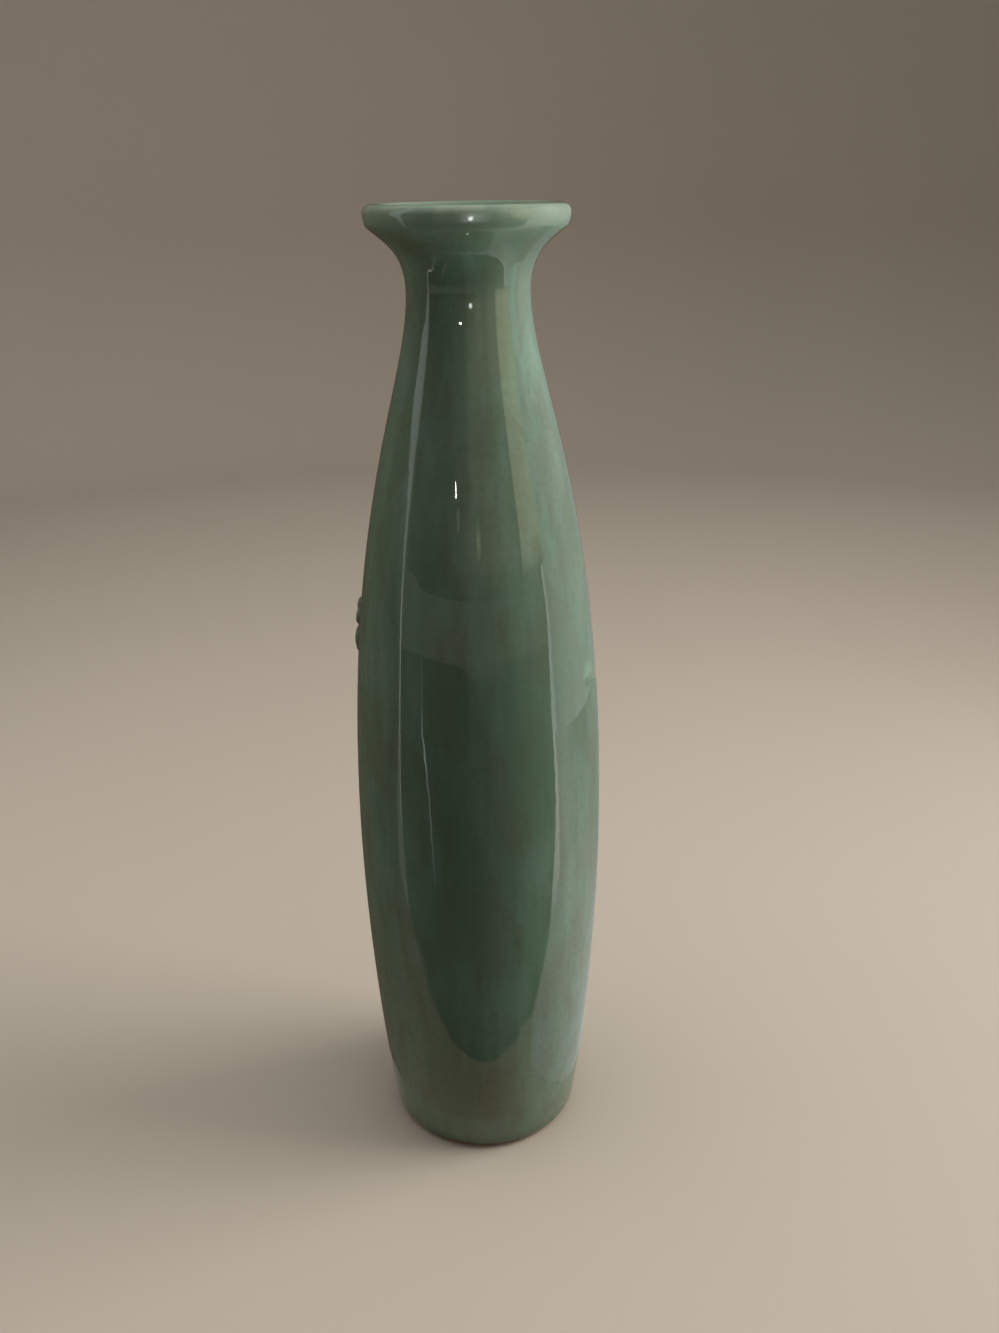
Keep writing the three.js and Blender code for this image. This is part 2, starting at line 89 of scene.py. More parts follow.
def make_camera():
    """Tilted up from straight down, turned aside toward +X, and rolled about its line of sight."""
    data = bpy.data.cameras.new("camera")
    data.sensor_width = SENSOR
    data.lens = SENSOR * FOCAL_PIXELS / PICTURE_HEIGHT
    data.clip_start = NEAREST
    camera = show(bpy.data.objects.new("camera", data))
    tilt = turned_by(-EYE_ASIDE, "Z") @ turned_by(math.pi / 2 - EYE_DOWN, "X")
    stand = Matrix.Translation((0, -EYE_DISTANCE, EYE_HEIGHT))
    camera.matrix_world = stand @ tilt @ turned_by(-EYE_ROLL, "Z")
    bpy.context.scene.camera = camera
    return camera


print("the lens is", round(make_camera().data.lens, 1), "mm")

# %% [markdown]
# ## The outline
# A thrown vase is a profile turned about its axis. A cubic curve between each two of its turning
# points keeps the line free of kinks, and needs only the directions in which it leaves and arrives.
# The widest radius and the full height are measured on the frame. All sizes from here on are in
# millimetres, and a point is its distance from the axis and its height.

# %% Turning points of the outline
GLAZE_COAT = 0.5
CLAY_DEPTH = 0.8
CLAY_WALL = 3.6
LINING_DEPTH = CLAY_DEPTH + CLAY_WALL + (CLAY_DEPTH - GLAZE_COAT) + GLAZE_COAT

coat_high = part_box("outer_glaze")[1]
ring_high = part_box("lip_ring")[1]
TOP = coat_high.z / MM
LIP_RADIUS = ring_high.x / MM + CLAY_DEPTH
FOOT = (31.5, 0)
BELLY = (coat_high.x / MM, 113.0)
NECK = (17.6, 282.0)
FLARE = (27.7, TOP - 6.0)
LIP_EDGE = (LIP_RADIUS, TOP - 2.5)
CROWN = (25.6, TOP)
MOUTH_HEIGHT = FLARE[1] - 2.5

# how far the curves run straight on from the turning points, as out and up
HEEL_RUN = (1.8, 1)
BELLY_RUN_DOWN, BELLY_RUN_UP = (0, -54), (0, 110)
NECK_RUN_DOWN, NECK_RUN_UP = (0, -25), (0, 11)
FLARE_RUN_IN, FLARE_RUN_OUT = (-4.4, -4), (0.5, 0.45)
EDGE_RUN_DOWN, EDGE_RUN_UP = (0, -1.3), (0, 1.7)
CROWN_RUN_OUT, CROWN_RUN_IN = (1.7, 0), (-1.6, 0)
MOUTH_RUN = 1.8
MOUTH_STRETCH = 8
WALL_POINTS = 800
LIP_POINTS = 200


def cubic(start, leave, arrive, end, count):
    """A cubic curve between two turning points. At each share t of the way its four corners are
    mixed by the terms of ((1 - t) + t) cubed."""
    t = np.linspace(0, 1, count)[:, None]
    leave, arrive = np.add(start, leave), np.add(end, arrive)
    start, end = np.array(start, float), np.array(end, float)
    return start * (1 - t) ** 3 + 3 * leave * t * (1 - t) ** 2 + 3 * arrive * t**2 * (1 - t) + end * t**3


def outward(line):
    """The unit normals of a profile, to the right of its run."""
    run = np.gradient(line, axis=0)
    run /= np.linalg.norm(run, axis=1)[:, None]
    return np.stack([run[:, 1], -run[:, 0]], axis=1)


def sunk(line, depth):
    """The profile moved into the wall by a depth, along its normals."""
    return line - outward(line) * depth


def spaced(line, count=None, step=None):
    """The line again, as evenly spaced points along its length, by their count or their step."""
    length = np.concatenate([[0], np.cumsum(np.linalg.norm(np.diff(line, axis=0), axis=1))])
    if step is None:
        places = np.arange(count) * length[-1] / count
    else:
        places = np.linspace(0, length[-1], max(2, int(round(length[-1] / step)) + 1))
    return np.stack([np.interp(places, length, line[:, axis]) for axis in (0, 1)], axis=1)


wall_line = np.concatenate([
    cubic(FOOT, HEEL_RUN, BELLY_RUN_DOWN, BELLY, WALL_POINTS),
    cubic(BELLY, BELLY_RUN_UP, NECK_RUN_DOWN, NECK, WALL_POINTS)[1:],
    cubic(NECK, NECK_RUN_UP, FLARE_RUN_IN, FLARE, WALL_POINTS)[1:],
])
inner_line = sunk(wall_line, LINING_DEPTH)


def part_of(line, low, high):
    """The stretch of a profile between two heights, those of the glazed wall beside it."""
    return line[(wall_line[:, 1] >= low) & (wall_line[:, 1] <= high)]


to_mouth = part_of(inner_line, 0, MOUTH_HEIGHT)
mouth_edge = to_mouth[-1]
mouth_run = mouth_edge - to_mouth[-MOUTH_STRETCH]
mouth_run *= MOUTH_RUN / np.linalg.norm(mouth_run)
lip_line = np.concatenate([
    cubic(FLARE, FLARE_RUN_OUT, EDGE_RUN_DOWN, LIP_EDGE, LIP_POINTS),
    cubic(LIP_EDGE, EDGE_RUN_UP, CROWN_RUN_OUT, CROWN, LIP_POINTS)[1:],
    cubic(CROWN, CROWN_RUN_IN, mouth_run, mouth_edge, LIP_POINTS)[1:],
])
print("the wall's outline runs", round(TOP), "mm up, and the mouth's edge is at", mouth_edge.round(1))

# %% [markdown]
# ## Surfaces on a grid
# Every piece here is a surface worked out on a grid of two parameters: how far round, and how far
# along the profile. One helper turns any such grid into a mesh, with its seam joined and its poles
# closed, so that each piece is a watertight solid whose faces point out.

# %% From a grid of points to a mesh
def grid_mesh(name, grid, closed=False, low_pole=None, high_pole=None, round_about=True, **values):
    """Rows of points, each row a ring unless round_about is false. Four neighbours make a face.
    closed joins the last row to the first, and a pole closes an end with a fan. Each extra keyword
    is a number for every point of the grid, kept as an attribute of that name."""
    rows, columns = grid.shape[:2]
    index = np.arange(rows * columns).reshape(rows, columns)
    low, high = (index, np.roll(index, -1, 0)) if closed else (index[:-1], index[1:])
    if round_about:
        low_next, high_next = np.roll(low, -1, 1), np.roll(high, -1, 1)
    else:
        low, low_next, high, high_next = low[:, :-1], low[:, 1:], high[:, :-1], high[:, 1:]
    faces = np.stack([low, low_next, high_next, high], axis=-1).reshape(-1, 4).tolist()
    points = [grid.reshape(-1, 3)]
    for pole, ring, at_start in ((low_pole, index[0], True), (high_pole, index[-1], False)):
        if pole is not None:
            tip = sum(len(block) for block in points)
            points.append(np.reshape(pole, (1, 3)))
            after = np.roll(ring, -1)
            pair = (after, ring) if at_start else (ring, after)
            faces += np.stack([np.full(columns, tip), *pair], axis=1).tolist()
    points = np.concatenate(points)
    mesh = bpy.data.meshes.new(name)
    mesh.from_pydata((points * MM).tolist(), [], faces)
    mesh.shade_smooth()
    for key, numbers in values.items():
        flat = np.zeros(len(points), np.float32)
        flat[: rows * columns] = np.ravel(numbers)
        mesh.attributes.new(key, "FLOAT", "POINT").data.foreach_set("value", flat)
    mesh.validate()
    return show(bpy.data.objects.new(name, mesh))


def polar(radius, turns, height):
    """Points at a distance from the axis. The turn is 0 at -Y and grows toward +X."""
    return np.stack([radius * np.sin(turns), -radius * np.cos(turns), height], axis=-1)


def revolved(profile, count_or_turns, off=0.0):
    """A profile carried round the axis, at some turns or at a count of even ones. Each point may
    stand off the profile by its own distance along the normal."""
    turns = turns_of(count_or_turns) if np.isscalar(count_or_turns) else count_or_turns
    normal = outward(profile)
    off = np.broadcast_to(off, (len(profile), len(turns)))
    return polar(profile[:, :1] + normal[:, :1] * off, turns, profile[:, 1:] + normal[:, 1:] * off)


def turns_of(count):
    """Evenly spaced turns round the axis, in radians."""
    return np.arange(count) * 2 * math.pi / count


# %% [markdown]
# ## The unevenness of throwing
# Hands leave a wall slightly off true. A turned pot is a little oval, it keeps faint rings from
# the fingers, and its glaze melts into upright runs that wander as they go down. That is what bends
# the long reflections of a real pot. Sums of cosines with random phases give all three.

# %% The unevenness as a formula
OVAL = 0.05
OVAL_PHASE = 0.8
OVAL_TWIST = 160
RING_PITCH = 8.5
RING_DEPTH = 0.008
RING_SWAY = 1.3
RUN_DEPTH = 0.01
RUN_SWAY = 0.8
RUN_COUNTS = (9, 14, 19, 25, 32, 41)
RUN_LENGTHS = (70, 180)
EDGE_FADE = 7.0
dice = np.random.default_rng(12)
run_phases = dice.uniform(0, 2 * math.pi, len(RUN_COUNTS))
run_lengths = dice.uniform(*RUN_LENGTHS, len(RUN_COUNTS))


def unevenness(turn, height):
    """How far the wall stands off true: a wave twice round, a wave up the wall for each finger
    ring, and for each run count a wave round it whose phase sways with the height. It fades out
    toward the foot and the lip, and is set back so that it only sinks."""
    oval = OVAL * np.cos(2 * turn + OVAL_PHASE + height / OVAL_TWIST)
    rings = RING_DEPTH * np.cos(2 * math.pi * height / RING_PITCH + RING_SWAY * np.cos(turn))
    runs = sum(
        RUN_DEPTH * np.cos(count * turn + phase + RUN_SWAY * np.sin(2 * math.pi * height / length + phase))
        for count, phase, length in zip(RUN_COUNTS, run_phases, run_lengths)
    )
    fade = np.clip(np.minimum(height, TOP - height) / EDGE_FADE, 0, 1)
    return (oval + rings + runs - OVAL - RING_DEPTH) * fade


# %% [markdown]
# ## Places on the wall
# The applied vine is easiest to lay out on the wall unrolled flat, with x along the wall to the
# right and y up, both counted from the middle of the first blossom. One function rolls that plane
# back round the vase, and lifts a point off the glaze along the wall's own normal.

# %% Rolling the plane round the wall
VINE_TURN = math.radians(-106)
VINE_HEIGHT = 182.8
wall_normals = outward(wall_line)


def along_wall(heights, values):
    """A value of the outline, read at given heights."""
    return np.interp(heights, wall_line[:, 1], values)


VINE_RADIUS = float(along_wall(VINE_HEIGHT, wall_line[:, 0]))


def rolled(x, y, lift):
    """The point of the wall at (x, y) on the unrolled plane, lifted off the glaze."""
    turn = VINE_TURN + x / VINE_RADIUS
    height = VINE_HEIGHT + y
    off = lift + unevenness(turn, height)
    radius = along_wall(height, wall_line[:, 0]) + off * along_wall(height, wall_normals[:, 0])
    return polar(radius, turn, height + off * along_wall(height, wall_normals[:, 1]))


print("the vine lies on a radius of", round(VINE_RADIUS, 1), "mm")

# %% [markdown]
# ## The forms of the vine
# Each applied piece is a pad of clay pressed on the wall and drowned in glaze. It has an outline on
# the unrolled plane, and a formula in its own length and width gives its relief: the hollow of a
# petal, the midrib of a leaf. These are the small formulas that all of them are made from.

# %% Small formulas
EDGE_LIFT = 0.35
THINNING = 1.5
POOL_BELOW = 2.2


def around_points(count=240):
    """Angles evenly spaced round a full turn."""
    return np.linspace(0, 2 * math.pi, count, endpoint=False)


def heading(angle):
    """The unit vectors ahead along an angle on the plane, and aside to its left."""
    return np.array([math.cos(angle), math.sin(angle)]), np.array([-math.sin(angle), math.cos(angle)])


def left_of(run):
    """The unit vectors to the left of others."""
    return np.stack([-run[..., 1], run[..., 0]], axis=-1)


def bump(distance, width):
    """A smooth bump: 1 at no distance, and falling as the square of the distance over the width."""
    return np.exp(-((distance / width) ** 2))


def dome(share, crest, fullness):
    """A height that falls from the crest to the edge's own, as the root of one less a power of the
    share: the fuller, the later it falls."""
    return EDGE_LIFT + (crest - EDGE_LIFT) * np.sqrt(np.clip(1 - share**fullness, 0, 1))


def coat_masks(heights, crest, thinning=THINNING, pools=True):
    """thin is high on the crests, where the glaze draws off, and pool in the fillet below them."""
    share_up = np.clip(heights / crest, 0, 1)
    return {"thin": share_up**thinning, "pool": np.clip(1 - share_up * POOL_BELOW, 0, 1) * pools}


def blade_outline(start, angle, length, half_width, blunt):
    """A blade on the plane: it runs from start at an angle, its half width is a function of the
    share of its length, and both ends close in a rounded curve, the blunter the higher blunt is."""
    around = around_points()
    share = (1 - np.cos(around)) / 2
    closing = (1 - np.abs(2 * share - 1) ** blunt) ** (1 / blunt)
    across = -np.sign(np.sin(around)) * half_width(share) * closing
    ahead, aside = heading(angle)
    return start + length * share[:, None] * ahead + across[:, None] * aside


def own_axes(points, start, angle, length):
    """How far along a blade and how far aside of its line each point lies."""
    ahead, aside = heading(angle)
    return (points - start) @ ahead / length, (points - start) @ aside


# %% [markdown]
# ## Pressing a pad on the wall
# A pad is built as rings about its middle. They grow until they reach its outline, and a few more
# carry the glaze down beside it in a soft fillet that dips under the wall's surface.

# %% A pressed pad
SKIRT_OUT = np.array([0.15, 0.4, 0.8, 1.3, 1.8, 2.3])
SKIRT_SHARE = np.array([0.84, 0.6, 0.34, 0.15, 0.04, 0.0])
SKIRT_DIP = 0.15
PAD_BACK = 0.45
PAD_POINTS = 96
PAD_RINGS = 18
BOSS_RINGS = 14
RING_CROWDING = 0.8
outlines = []


def pressed_pad(name, outline, middle, lift, rings=PAD_RINGS, edge=EDGE_LIFT, pools=True, thinning=THINNING):
    """outline is a ring on the unrolled plane, and lift(points, share) the height over the glaze at a
    share of the way out to it. Past it the height falls from the edge's own to just under the wall."""
    outline = spaced(np.vstack([outline, outline[:1]]), count=PAD_POINTS)
    if pools:
        outlines.append(outline)
    shares = np.linspace(0, 1, rings + 1)[1:] ** RING_CROWDING
    inside = middle + shares[:, None, None] * (outline - middle)
    run = np.roll(outline, -1, 0) - np.roll(outline, 1, 0)
    run /= np.linalg.norm(run, axis=1)[:, None]
    outside = outline + SKIRT_OUT[:, None, None] * -left_of(run)
    plane = np.concatenate([inside, outside, outside[-1:]])
    skirt = (edge + SKIRT_DIP) * SKIRT_SHARE - SKIRT_DIP
    heights = np.concatenate([
        lift(inside, np.broadcast_to(shares[:, None], inside.shape[:2])),
        np.broadcast_to(skirt[:, None], outside.shape[:2]),
        np.full((1, len(outline)), -PAD_BACK),
    ])
    # the rings run outward from the middle, so the rows are turned about to make the faces point out
    plane, heights = plane[::-1], heights[::-1]
    crest = lift(middle[None, None], np.zeros((1, 1)))[0, 0]
    return grid_mesh(
        name,
        rolled(plane[..., 0], plane[..., 1], heights),
        low_pole=rolled(*middle, -PAD_BACK),
        high_pole=rolled(*middle, crest),
        **coat_masks(heights, heights.max(), thinning, pools),
    )


def boss(name, centre, radius, height, **settings):
    """A round pad. height(around, share) is a function of the turn about its middle and the share."""
    around = around_points()
    outline = centre + radius * np.stack([np.cos(around), np.sin(around)], axis=1)

    def lift(points, share):
        return height(np.arctan2(points[..., 1] - centre[1], points[..., 0] - centre[0]), share)

    return pressed_pad(name, outline, np.array(centre), lift, BOSS_RINGS, **settings)


# %% [markdown]
# ## Where the vine runs
# The vine leaves the first blossom to the left and waves round the far side of the shoulder,
# through a second, smaller blossom, to a bud at its end. Leaves grow on the outside of its bends.
# The clay pieces of the frame lie by the same rule, so the glazed ones drop onto them.

# %% The path of the vine
VINE_LENGTH = 94.0
VINE_DROP = 9.0
VINE_WAVE = 3.6
VINE_BENDS = 6
STEM_HALF_WIDTH = 1.1
STEM_CREST = 1.2
PIECE_GAP = 0.3


def vine_place(along):
    """A point of the vine's line: straight to the left and gently down, plus an even wave."""
    along = np.asarray(along, float)
    share = along / VINE_LENGTH
    return np.stack([-along, -share * VINE_DROP + VINE_WAVE * np.sin(share * VINE_BENDS * math.pi)], axis=-1)


def vine_run(along):
    """The unit direction of the vine: the slope of its line, worked out from the cosine of the wave."""
    waves = VINE_BENDS * math.pi
    climb = VINE_WAVE * waves * np.cos(np.asarray(along, float) / VINE_LENGTH * waves)
    run = np.stack([np.full_like(climb, -VINE_LENGTH), climb - VINE_DROP], axis=-1)
    return run / np.linalg.norm(run, axis=-1, keepdims=True)


def bend_along(bend):
    """How far along the vine a bend has its crest."""
    return (bend + 0.5) * VINE_LENGTH / VINE_BENDS


def outside_of(bend):
    """Which side of the vine is the outside of a bend: 1 is to the left of its run."""
    return 1 if bend % 2 else -1


# %% [markdown]
# ## Petals and eyes
# A petal was rolled thin, notched and pressed with a thumb, so it is hollow in the middle, its rim
# stands up, and a crease runs out from the eye. The eye is a ball pressed flat, with a dimple and
# a ring of knobs from the end of a hollow reed. Glaze rounds all of it.

# %% Petals and eyes
PETAL_COUNT = 5
PETAL_REACH = 12.0
PETAL_HALF_WIDTH = 4.4
PETAL_TIP_HALF_WIDTH = 1.9
PETAL_CREST = 1.6
PETAL_MIDDLE = 0.52
PETAL_FULLNESS = 3.2
FIRST_PETAL_ANGLE = math.radians(29)
HOLLOW_DEPTH, HOLLOW_WIDTH, HOLLOW_PLACE, HOLLOW_REACH = 0.42, 1.9, 0.55, 0.34
CREASE_DEPTH, CREASE_WIDTH = 0.3, 0.34
PETAL_VEIN_DEPTH, PETAL_VEIN_TURNS = 0.05, 4.2
NOTCH_DEPTH, NOTCH_WIDTH = 0.7, 1.1
EYE_RADIUS = 2.3
EYE_CREST = 1.9
DIMPLE_DEPTH, DIMPLE_REACH = 0.3, 0.3
KNOB_COUNT, KNOB_RISE, KNOB_PLACE, KNOB_REACH = 9, 0.13, 0.55, 0.2
BOSS_FULLNESS = 2.6


def petal(name, centre, scale, angle):
    """Half width: a narrow root and tip, and a swell between them along a sine. Height: a dome
    whose crest rises and falls along the petal, less a hollow and a crease, plus fine veins."""
    start_out = EYE_RADIUS * scale + PIECE_GAP
    length = PETAL_REACH * scale - start_out
    root = math.tan(math.pi / PETAL_COUNT) * start_out - PIECE_GAP
    ahead = heading(angle)[0]
    start = centre + start_out * ahead

    def half_width(share):
        swell = np.sin(math.pi * np.minimum(1, share * 0.9 + 0.02) ** 1.15) ** 0.75
        narrow = root + (PETAL_TIP_HALF_WIDTH * scale - root) * share
        return narrow * (1 - swell) + PETAL_HALF_WIDTH * scale * swell

    def lift(points, share):
        along, aside = own_axes(points, start, angle, length)
        crest = PETAL_CREST * (0.55 + 0.45 * np.sin(math.pi * (np.clip(along, 0, 1) * 0.75 + 0.02)))
        hollow = bump(aside, HOLLOW_WIDTH * scale) * bump(along - HOLLOW_PLACE, HOLLOW_REACH)
        crease = bump(aside, CREASE_WIDTH) * np.clip(1.15 - along, 0, 1) * np.clip(along * 6, 0, 1)
        veins = np.cos(aside * PETAL_VEIN_TURNS / scale) * np.clip(along * 2, 0, 1) * (1 - share**4)
        smooth = dome(share, crest, PETAL_FULLNESS)
        return smooth - HOLLOW_DEPTH * hollow - CREASE_DEPTH * crease + PETAL_VEIN_DEPTH * veins

    outline = blade_outline(start, angle, length, half_width, blunt=5)
    along, aside = own_axes(outline, start, angle, length)
    notch = NOTCH_DEPTH * scale * bump(aside, NOTCH_WIDTH * scale) * np.clip(along * 4 - 3, 0, 1)
    return pressed_pad(name, outline - notch[:, None] * ahead, start + PETAL_MIDDLE * length * ahead, lift)


def eye(name, centre, scale):
    """A dome with a dimple in its middle and a ring of small knobs about it."""
    def height(around, share):
        knobs = KNOB_RISE * np.cos(KNOB_COUNT * around) * bump(share - KNOB_PLACE, KNOB_REACH)
        return dome(share, EYE_CREST, BOSS_FULLNESS) - DIMPLE_DEPTH * bump(share, DIMPLE_REACH) + knobs

    return boss(name, centre, EYE_RADIUS * scale, height)


# %% [markdown]
# ## Leaves and buds
# A leaf has a midrib and side veins drawn in with a tool. A bud is a ball pressed flat, with
# creases where its petals fold. One bud lies by itself on the right, so thinly pressed that it
# shows as little more than a pale round spot in the glaze.

# %% Leaves and buds
LEAF_LENGTH = 17.0
LEAF_HALF_WIDTH = 3.6
LEAF_TIP_HALF_WIDTH = 0.3
LEAF_CREST = 1.4
LEAF_SPREAD = math.radians(42)
LEAF_MIDDLE = 0.42
LEAF_RINGS = 22
MIDRIB_DEPTH, MIDRIB_WIDTH = 0.34, 0.4
LEAF_VEIN_DEPTH, LEAF_VEIN_PITCH, LEAF_VEIN_SLANT = 0.09, 2.3, 0.9
BUD_RADIUS = 2.4
BUD_CREST = 1.5
BUD_GAP = 0.4
BUD_FULLNESS = 2.4
FOLD_COUNT, FOLD_DEPTH, FOLD_WIDTH, FOLD_TWIST = 3, 0.16, 0.3, 0.9
SPOT_RADIUS = 4.4
SPOT_CREST = 0.4
SPOT_THINNING = 0.7


def leaf(name, bend):
    """Half width: a sine that swells early and runs out to a point. Height: a low dome, a midrib
    groove down its line, and side veins that leave it at a slant every few millimetres."""
    run = vine_run(bend_along(bend))
    angle = math.atan2(run[1], run[0]) + outside_of(bend) * LEAF_SPREAD
    ahead = heading(angle)[0]
    start_out = (STEM_HALF_WIDTH + LEAF_TIP_HALF_WIDTH + 2 * PIECE_GAP) / math.sin(LEAF_SPREAD)
    start = vine_place(bend_along(bend)) + start_out * ahead

    def half_width(share):
        swell = np.sin(math.pi * np.clip(share, 1e-6, 1) ** 0.8) ** 0.9
        return LEAF_TIP_HALF_WIDTH + (LEAF_HALF_WIDTH - LEAF_TIP_HALF_WIDTH) * swell

    def lift(points, share):
        along, aside = own_axes(points, start, angle, LEAF_LENGTH)
        crest = EDGE_LIFT + (LEAF_CREST - EDGE_LIFT) * np.sin(math.pi * (np.clip(along, 0, 1) * 0.9 + 0.05))
        midrib = bump(aside, MIDRIB_WIDTH) * np.clip(along * 5, 0, 1) * np.clip(4 - 4 * along, 0, 1)
        slant = (along * LEAF_LENGTH - LEAF_VEIN_SLANT * np.abs(aside)) * 2 * math.pi / LEAF_VEIN_PITCH
        veins = np.cos(slant) * np.clip(np.abs(aside) / 0.9, 0, 1) * (1 - share**5)
        return dome(share, crest, BOSS_FULLNESS) - MIDRIB_DEPTH * midrib - LEAF_VEIN_DEPTH * veins

    outline = blade_outline(start, angle, LEAF_LENGTH, half_width, blunt=8)
    return pressed_pad(name, outline, start + LEAF_MIDDLE * LEAF_LENGTH * ahead, lift, LEAF_RINGS)


def bud(name, centre):
    """A dome whose height dips along a few curved creases that meet in its middle."""
    def height(around, share):
        folds = bump(np.abs(np.cos(FOLD_COUNT / 2 * (around + FOLD_TWIST * share))), FOLD_WIDTH)
        shaded = folds * np.clip(share * 3, 0, 1) * (1 - share**3)
        return dome(share, BUD_CREST, BUD_FULLNESS) - FOLD_DEPTH * BUD_CREST * shaded

    return boss(name, centre, BUD_RADIUS, height)


def soft_spot(name, centre):
    """A bell with no edge: its height falls as the square of one less the share squared."""
    def height(around, share):
        return SPOT_CREST * (1 - share**2) ** 2

    return boss(name, centre, SPOT_RADIUS, height, edge=0.0, pools=False, thinning=SPOT_THINNING)


# %% [markdown]
# ## Stems
# A stem was rolled as a thread of clay and pressed down with a finger on both sides. Here it is one
# section carried along the vine's line, low and round on top and flat where it meets the wall.

# %% Stems
STEM_ROWS_PER_MM = 2.2
STEM_FOOT = 0.9
STEM_END = 1.6
STEM_SIDES = 25
STEM_SHARPNESS = 1.6
STEM_END_DIP = 0.3
STEM_END_REACH = 0.35
RIDGE_HEIGHT, RIDGE_TURNS = 0.06, 9


def stem(name, start, end):
    """A section carried along the vine: a low bump whose height falls to the wall as a power of
    one less the square of the share of its half width. Both ends close along a quarter circle."""
    count = int((end - start) * STEM_ROWS_PER_MM)
    along = start + (end - start) * np.linspace(0, 1, count + 2)[1:-1]
    to_end = np.minimum(along - start, end - along)
    closing = np.sqrt(1 - (1 - np.clip(to_end / STEM_END, 0, 1)) ** 2)[:, None]
    across = np.linspace(-1, 1, STEM_SIDES)
    height = -SKIRT_DIP + (STEM_CREST + SKIRT_DIP) * (1 - across**2) ** STEM_SHARPNESS
    ridges = RIDGE_HEIGHT * np.cos(across * RIDGE_TURNS) * (1 - across**2)
    section = np.concatenate([across, across[::-1][1:-1]])
    level = np.concatenate([height + ridges, np.full(STEM_SIDES - 2, -PAD_BACK)])
    reach = (STEM_HALF_WIDTH + STEM_FOOT) * (STEM_END_REACH + (1 - STEM_END_REACH) * closing)
    # the vine runs to the left, so its left side is taken as the low side of the section
    plane = vine_place(along)[:, None] - (reach * section)[..., None] * left_of(vine_run(along))[:, None]
    heights = np.where(level > -SKIRT_DIP, (level + SKIRT_DIP) * closing - SKIRT_DIP, level)
    outlines.append(plane.reshape(-1, 2)[::7])
    low_pole, high_pole = (rolled(*vine_place(tip), -STEM_END_DIP) for tip in (start, end))
    grid = rolled(plane[..., 0], plane[..., 1], heights)
    return grid_mesh(name, grid, low_pole=low_pole, high_pole=high_pole, **coat_masks(heights, STEM_CREST))


# %% [markdown]
# ## The vine, piece by piece
# Every piece takes its place from the vine's own line and bends, and remembers the solid of the
# frame that it will stand for.

# %% Every piece of the vine, in its place
SECOND_BLOSSOM_BEND = 3
SECOND_BLOSSOM_REACH = 10.0
BUD_BENDS = (1, 5)
STRAY_BUD_TURN = math.radians(65.5)
STRAY_BUD_HEIGHT = 172.0
vine_pieces = {}


def add_to_vine(node, slot, form, *shape):
    """Makes a piece by its form, and keeps it with the node that it stands for and its finish."""
    vine_pieces[node] = (form(node + "_glazed", *shape), slot)


def add_blossom(number, along, reach):
    """Five petals about an eye."""
    centre, scale = vine_place(along), reach / PETAL_REACH
    for count in range(PETAL_COUNT):
        angle = FIRST_PETAL_ANGLE + 2 * math.pi * count / PETAL_COUNT
        add_to_vine(f"blossom_{number}_petal_{count + 1}", "petal", petal, centre, scale, angle)
    add_to_vine(f"blossom_{number}_eye", "bud", eye, centre, scale)


second_along = bend_along(SECOND_BLOSSOM_BEND)
add_blossom(1, 0.0, PETAL_REACH)
add_blossom(2, second_along, SECOND_BLOSSOM_REACH)
stem_gap = STEM_HALF_WIDTH + PIECE_GAP
add_to_vine("stem_1", "stem", stem, PETAL_REACH + stem_gap, second_along - SECOND_BLOSSOM_REACH - stem_gap)
stem_start = second_along + SECOND_BLOSSOM_REACH + stem_gap
add_to_vine("stem_2", "stem", stem, stem_start, VINE_LENGTH - BUD_RADIUS - stem_gap)
leaf_bends = [bend for bend in range(1, VINE_BENDS) if bend != SECOND_BLOSSOM_BEND]
for count, bend in enumerate(leaf_bends):
    add_to_vine(f"leaf_{count + 1}", "leaf", leaf, bend)
for count, bend in enumerate(BUD_BENDS):
    stand_off = STEM_HALF_WIDTH + BUD_RADIUS + BUD_GAP
    aside = left_of(vine_run(bend_along(bend))) * -outside_of(bend) * stand_off
    add_to_vine(f"bud_{count + 1}", "bud", bud, vine_place(bend_along(bend)) + aside)
add_to_vine("end_bud", "bud", bud, vine_place(VINE_LENGTH))
stray_place = np.array([(STRAY_BUD_TURN - VINE_TURN) * VINE_RADIUS, STRAY_BUD_HEIGHT - VINE_HEIGHT])
add_to_vine("stray_bud", "bud", soft_spot, stray_place)
print(len(vine_pieces), "pieces make the vine")

# %% [markdown]
# ## The outer coat
# The glaze is a glass about half a millimetre thick. It was poured over the whole outside and over
# the lip, and it stopped in a rolled edge just above the foot, wiped clean so that the pot would not
# stick to the kiln shelf. Every reflection runs over its outside, so that is a fine grid. It
# carries two masks: one where the glaze is thin, on the lip's edge, and one where it pools, beside
# the vine and above the foot.

# %% The coat's form and its masks
COAT_COLUMNS = 256
COAT_STEP = 1.25
LIP_STEP = 0.4
BACK_STEP = 6.0
DRY_FOOT_HEIGHT = 1.6
EDGE_ROLL = 1.3
EDGE_BACK = 0.2
EDGE_WANDER = 0.35
EDGE_WAVES = ((3, 1, 0.4), (7, 0.6, 2.1), (13, 0.4, 4.4))
WANDER_FADE = 2.5
MOUTH_LAP = 6.0
LAP_PROUD = 0.14
LAP_DIP = 3 * LAP_PROUD
POOL_REACH = 1.7
VINE_BELOW, VINE_ABOVE = 35, 25
FOOT_POOL, FOOT_POOL_REACH = 0.8, 2.2
CROWN_MIDDLE = (LIP_RADIUS - 0.6, TOP - 1.2)
CROWN_REACH = 4.2


def glaze_edge_wander(turn):
    """How far the glaze's lower edge rises and falls: waves round the foot, each with its own
    count, share and phase, added up."""
    waves = sum(share * np.cos(count * turn + phase) for count, share, phase in EDGE_WAVES)
    return EDGE_WANDER * waves / 2


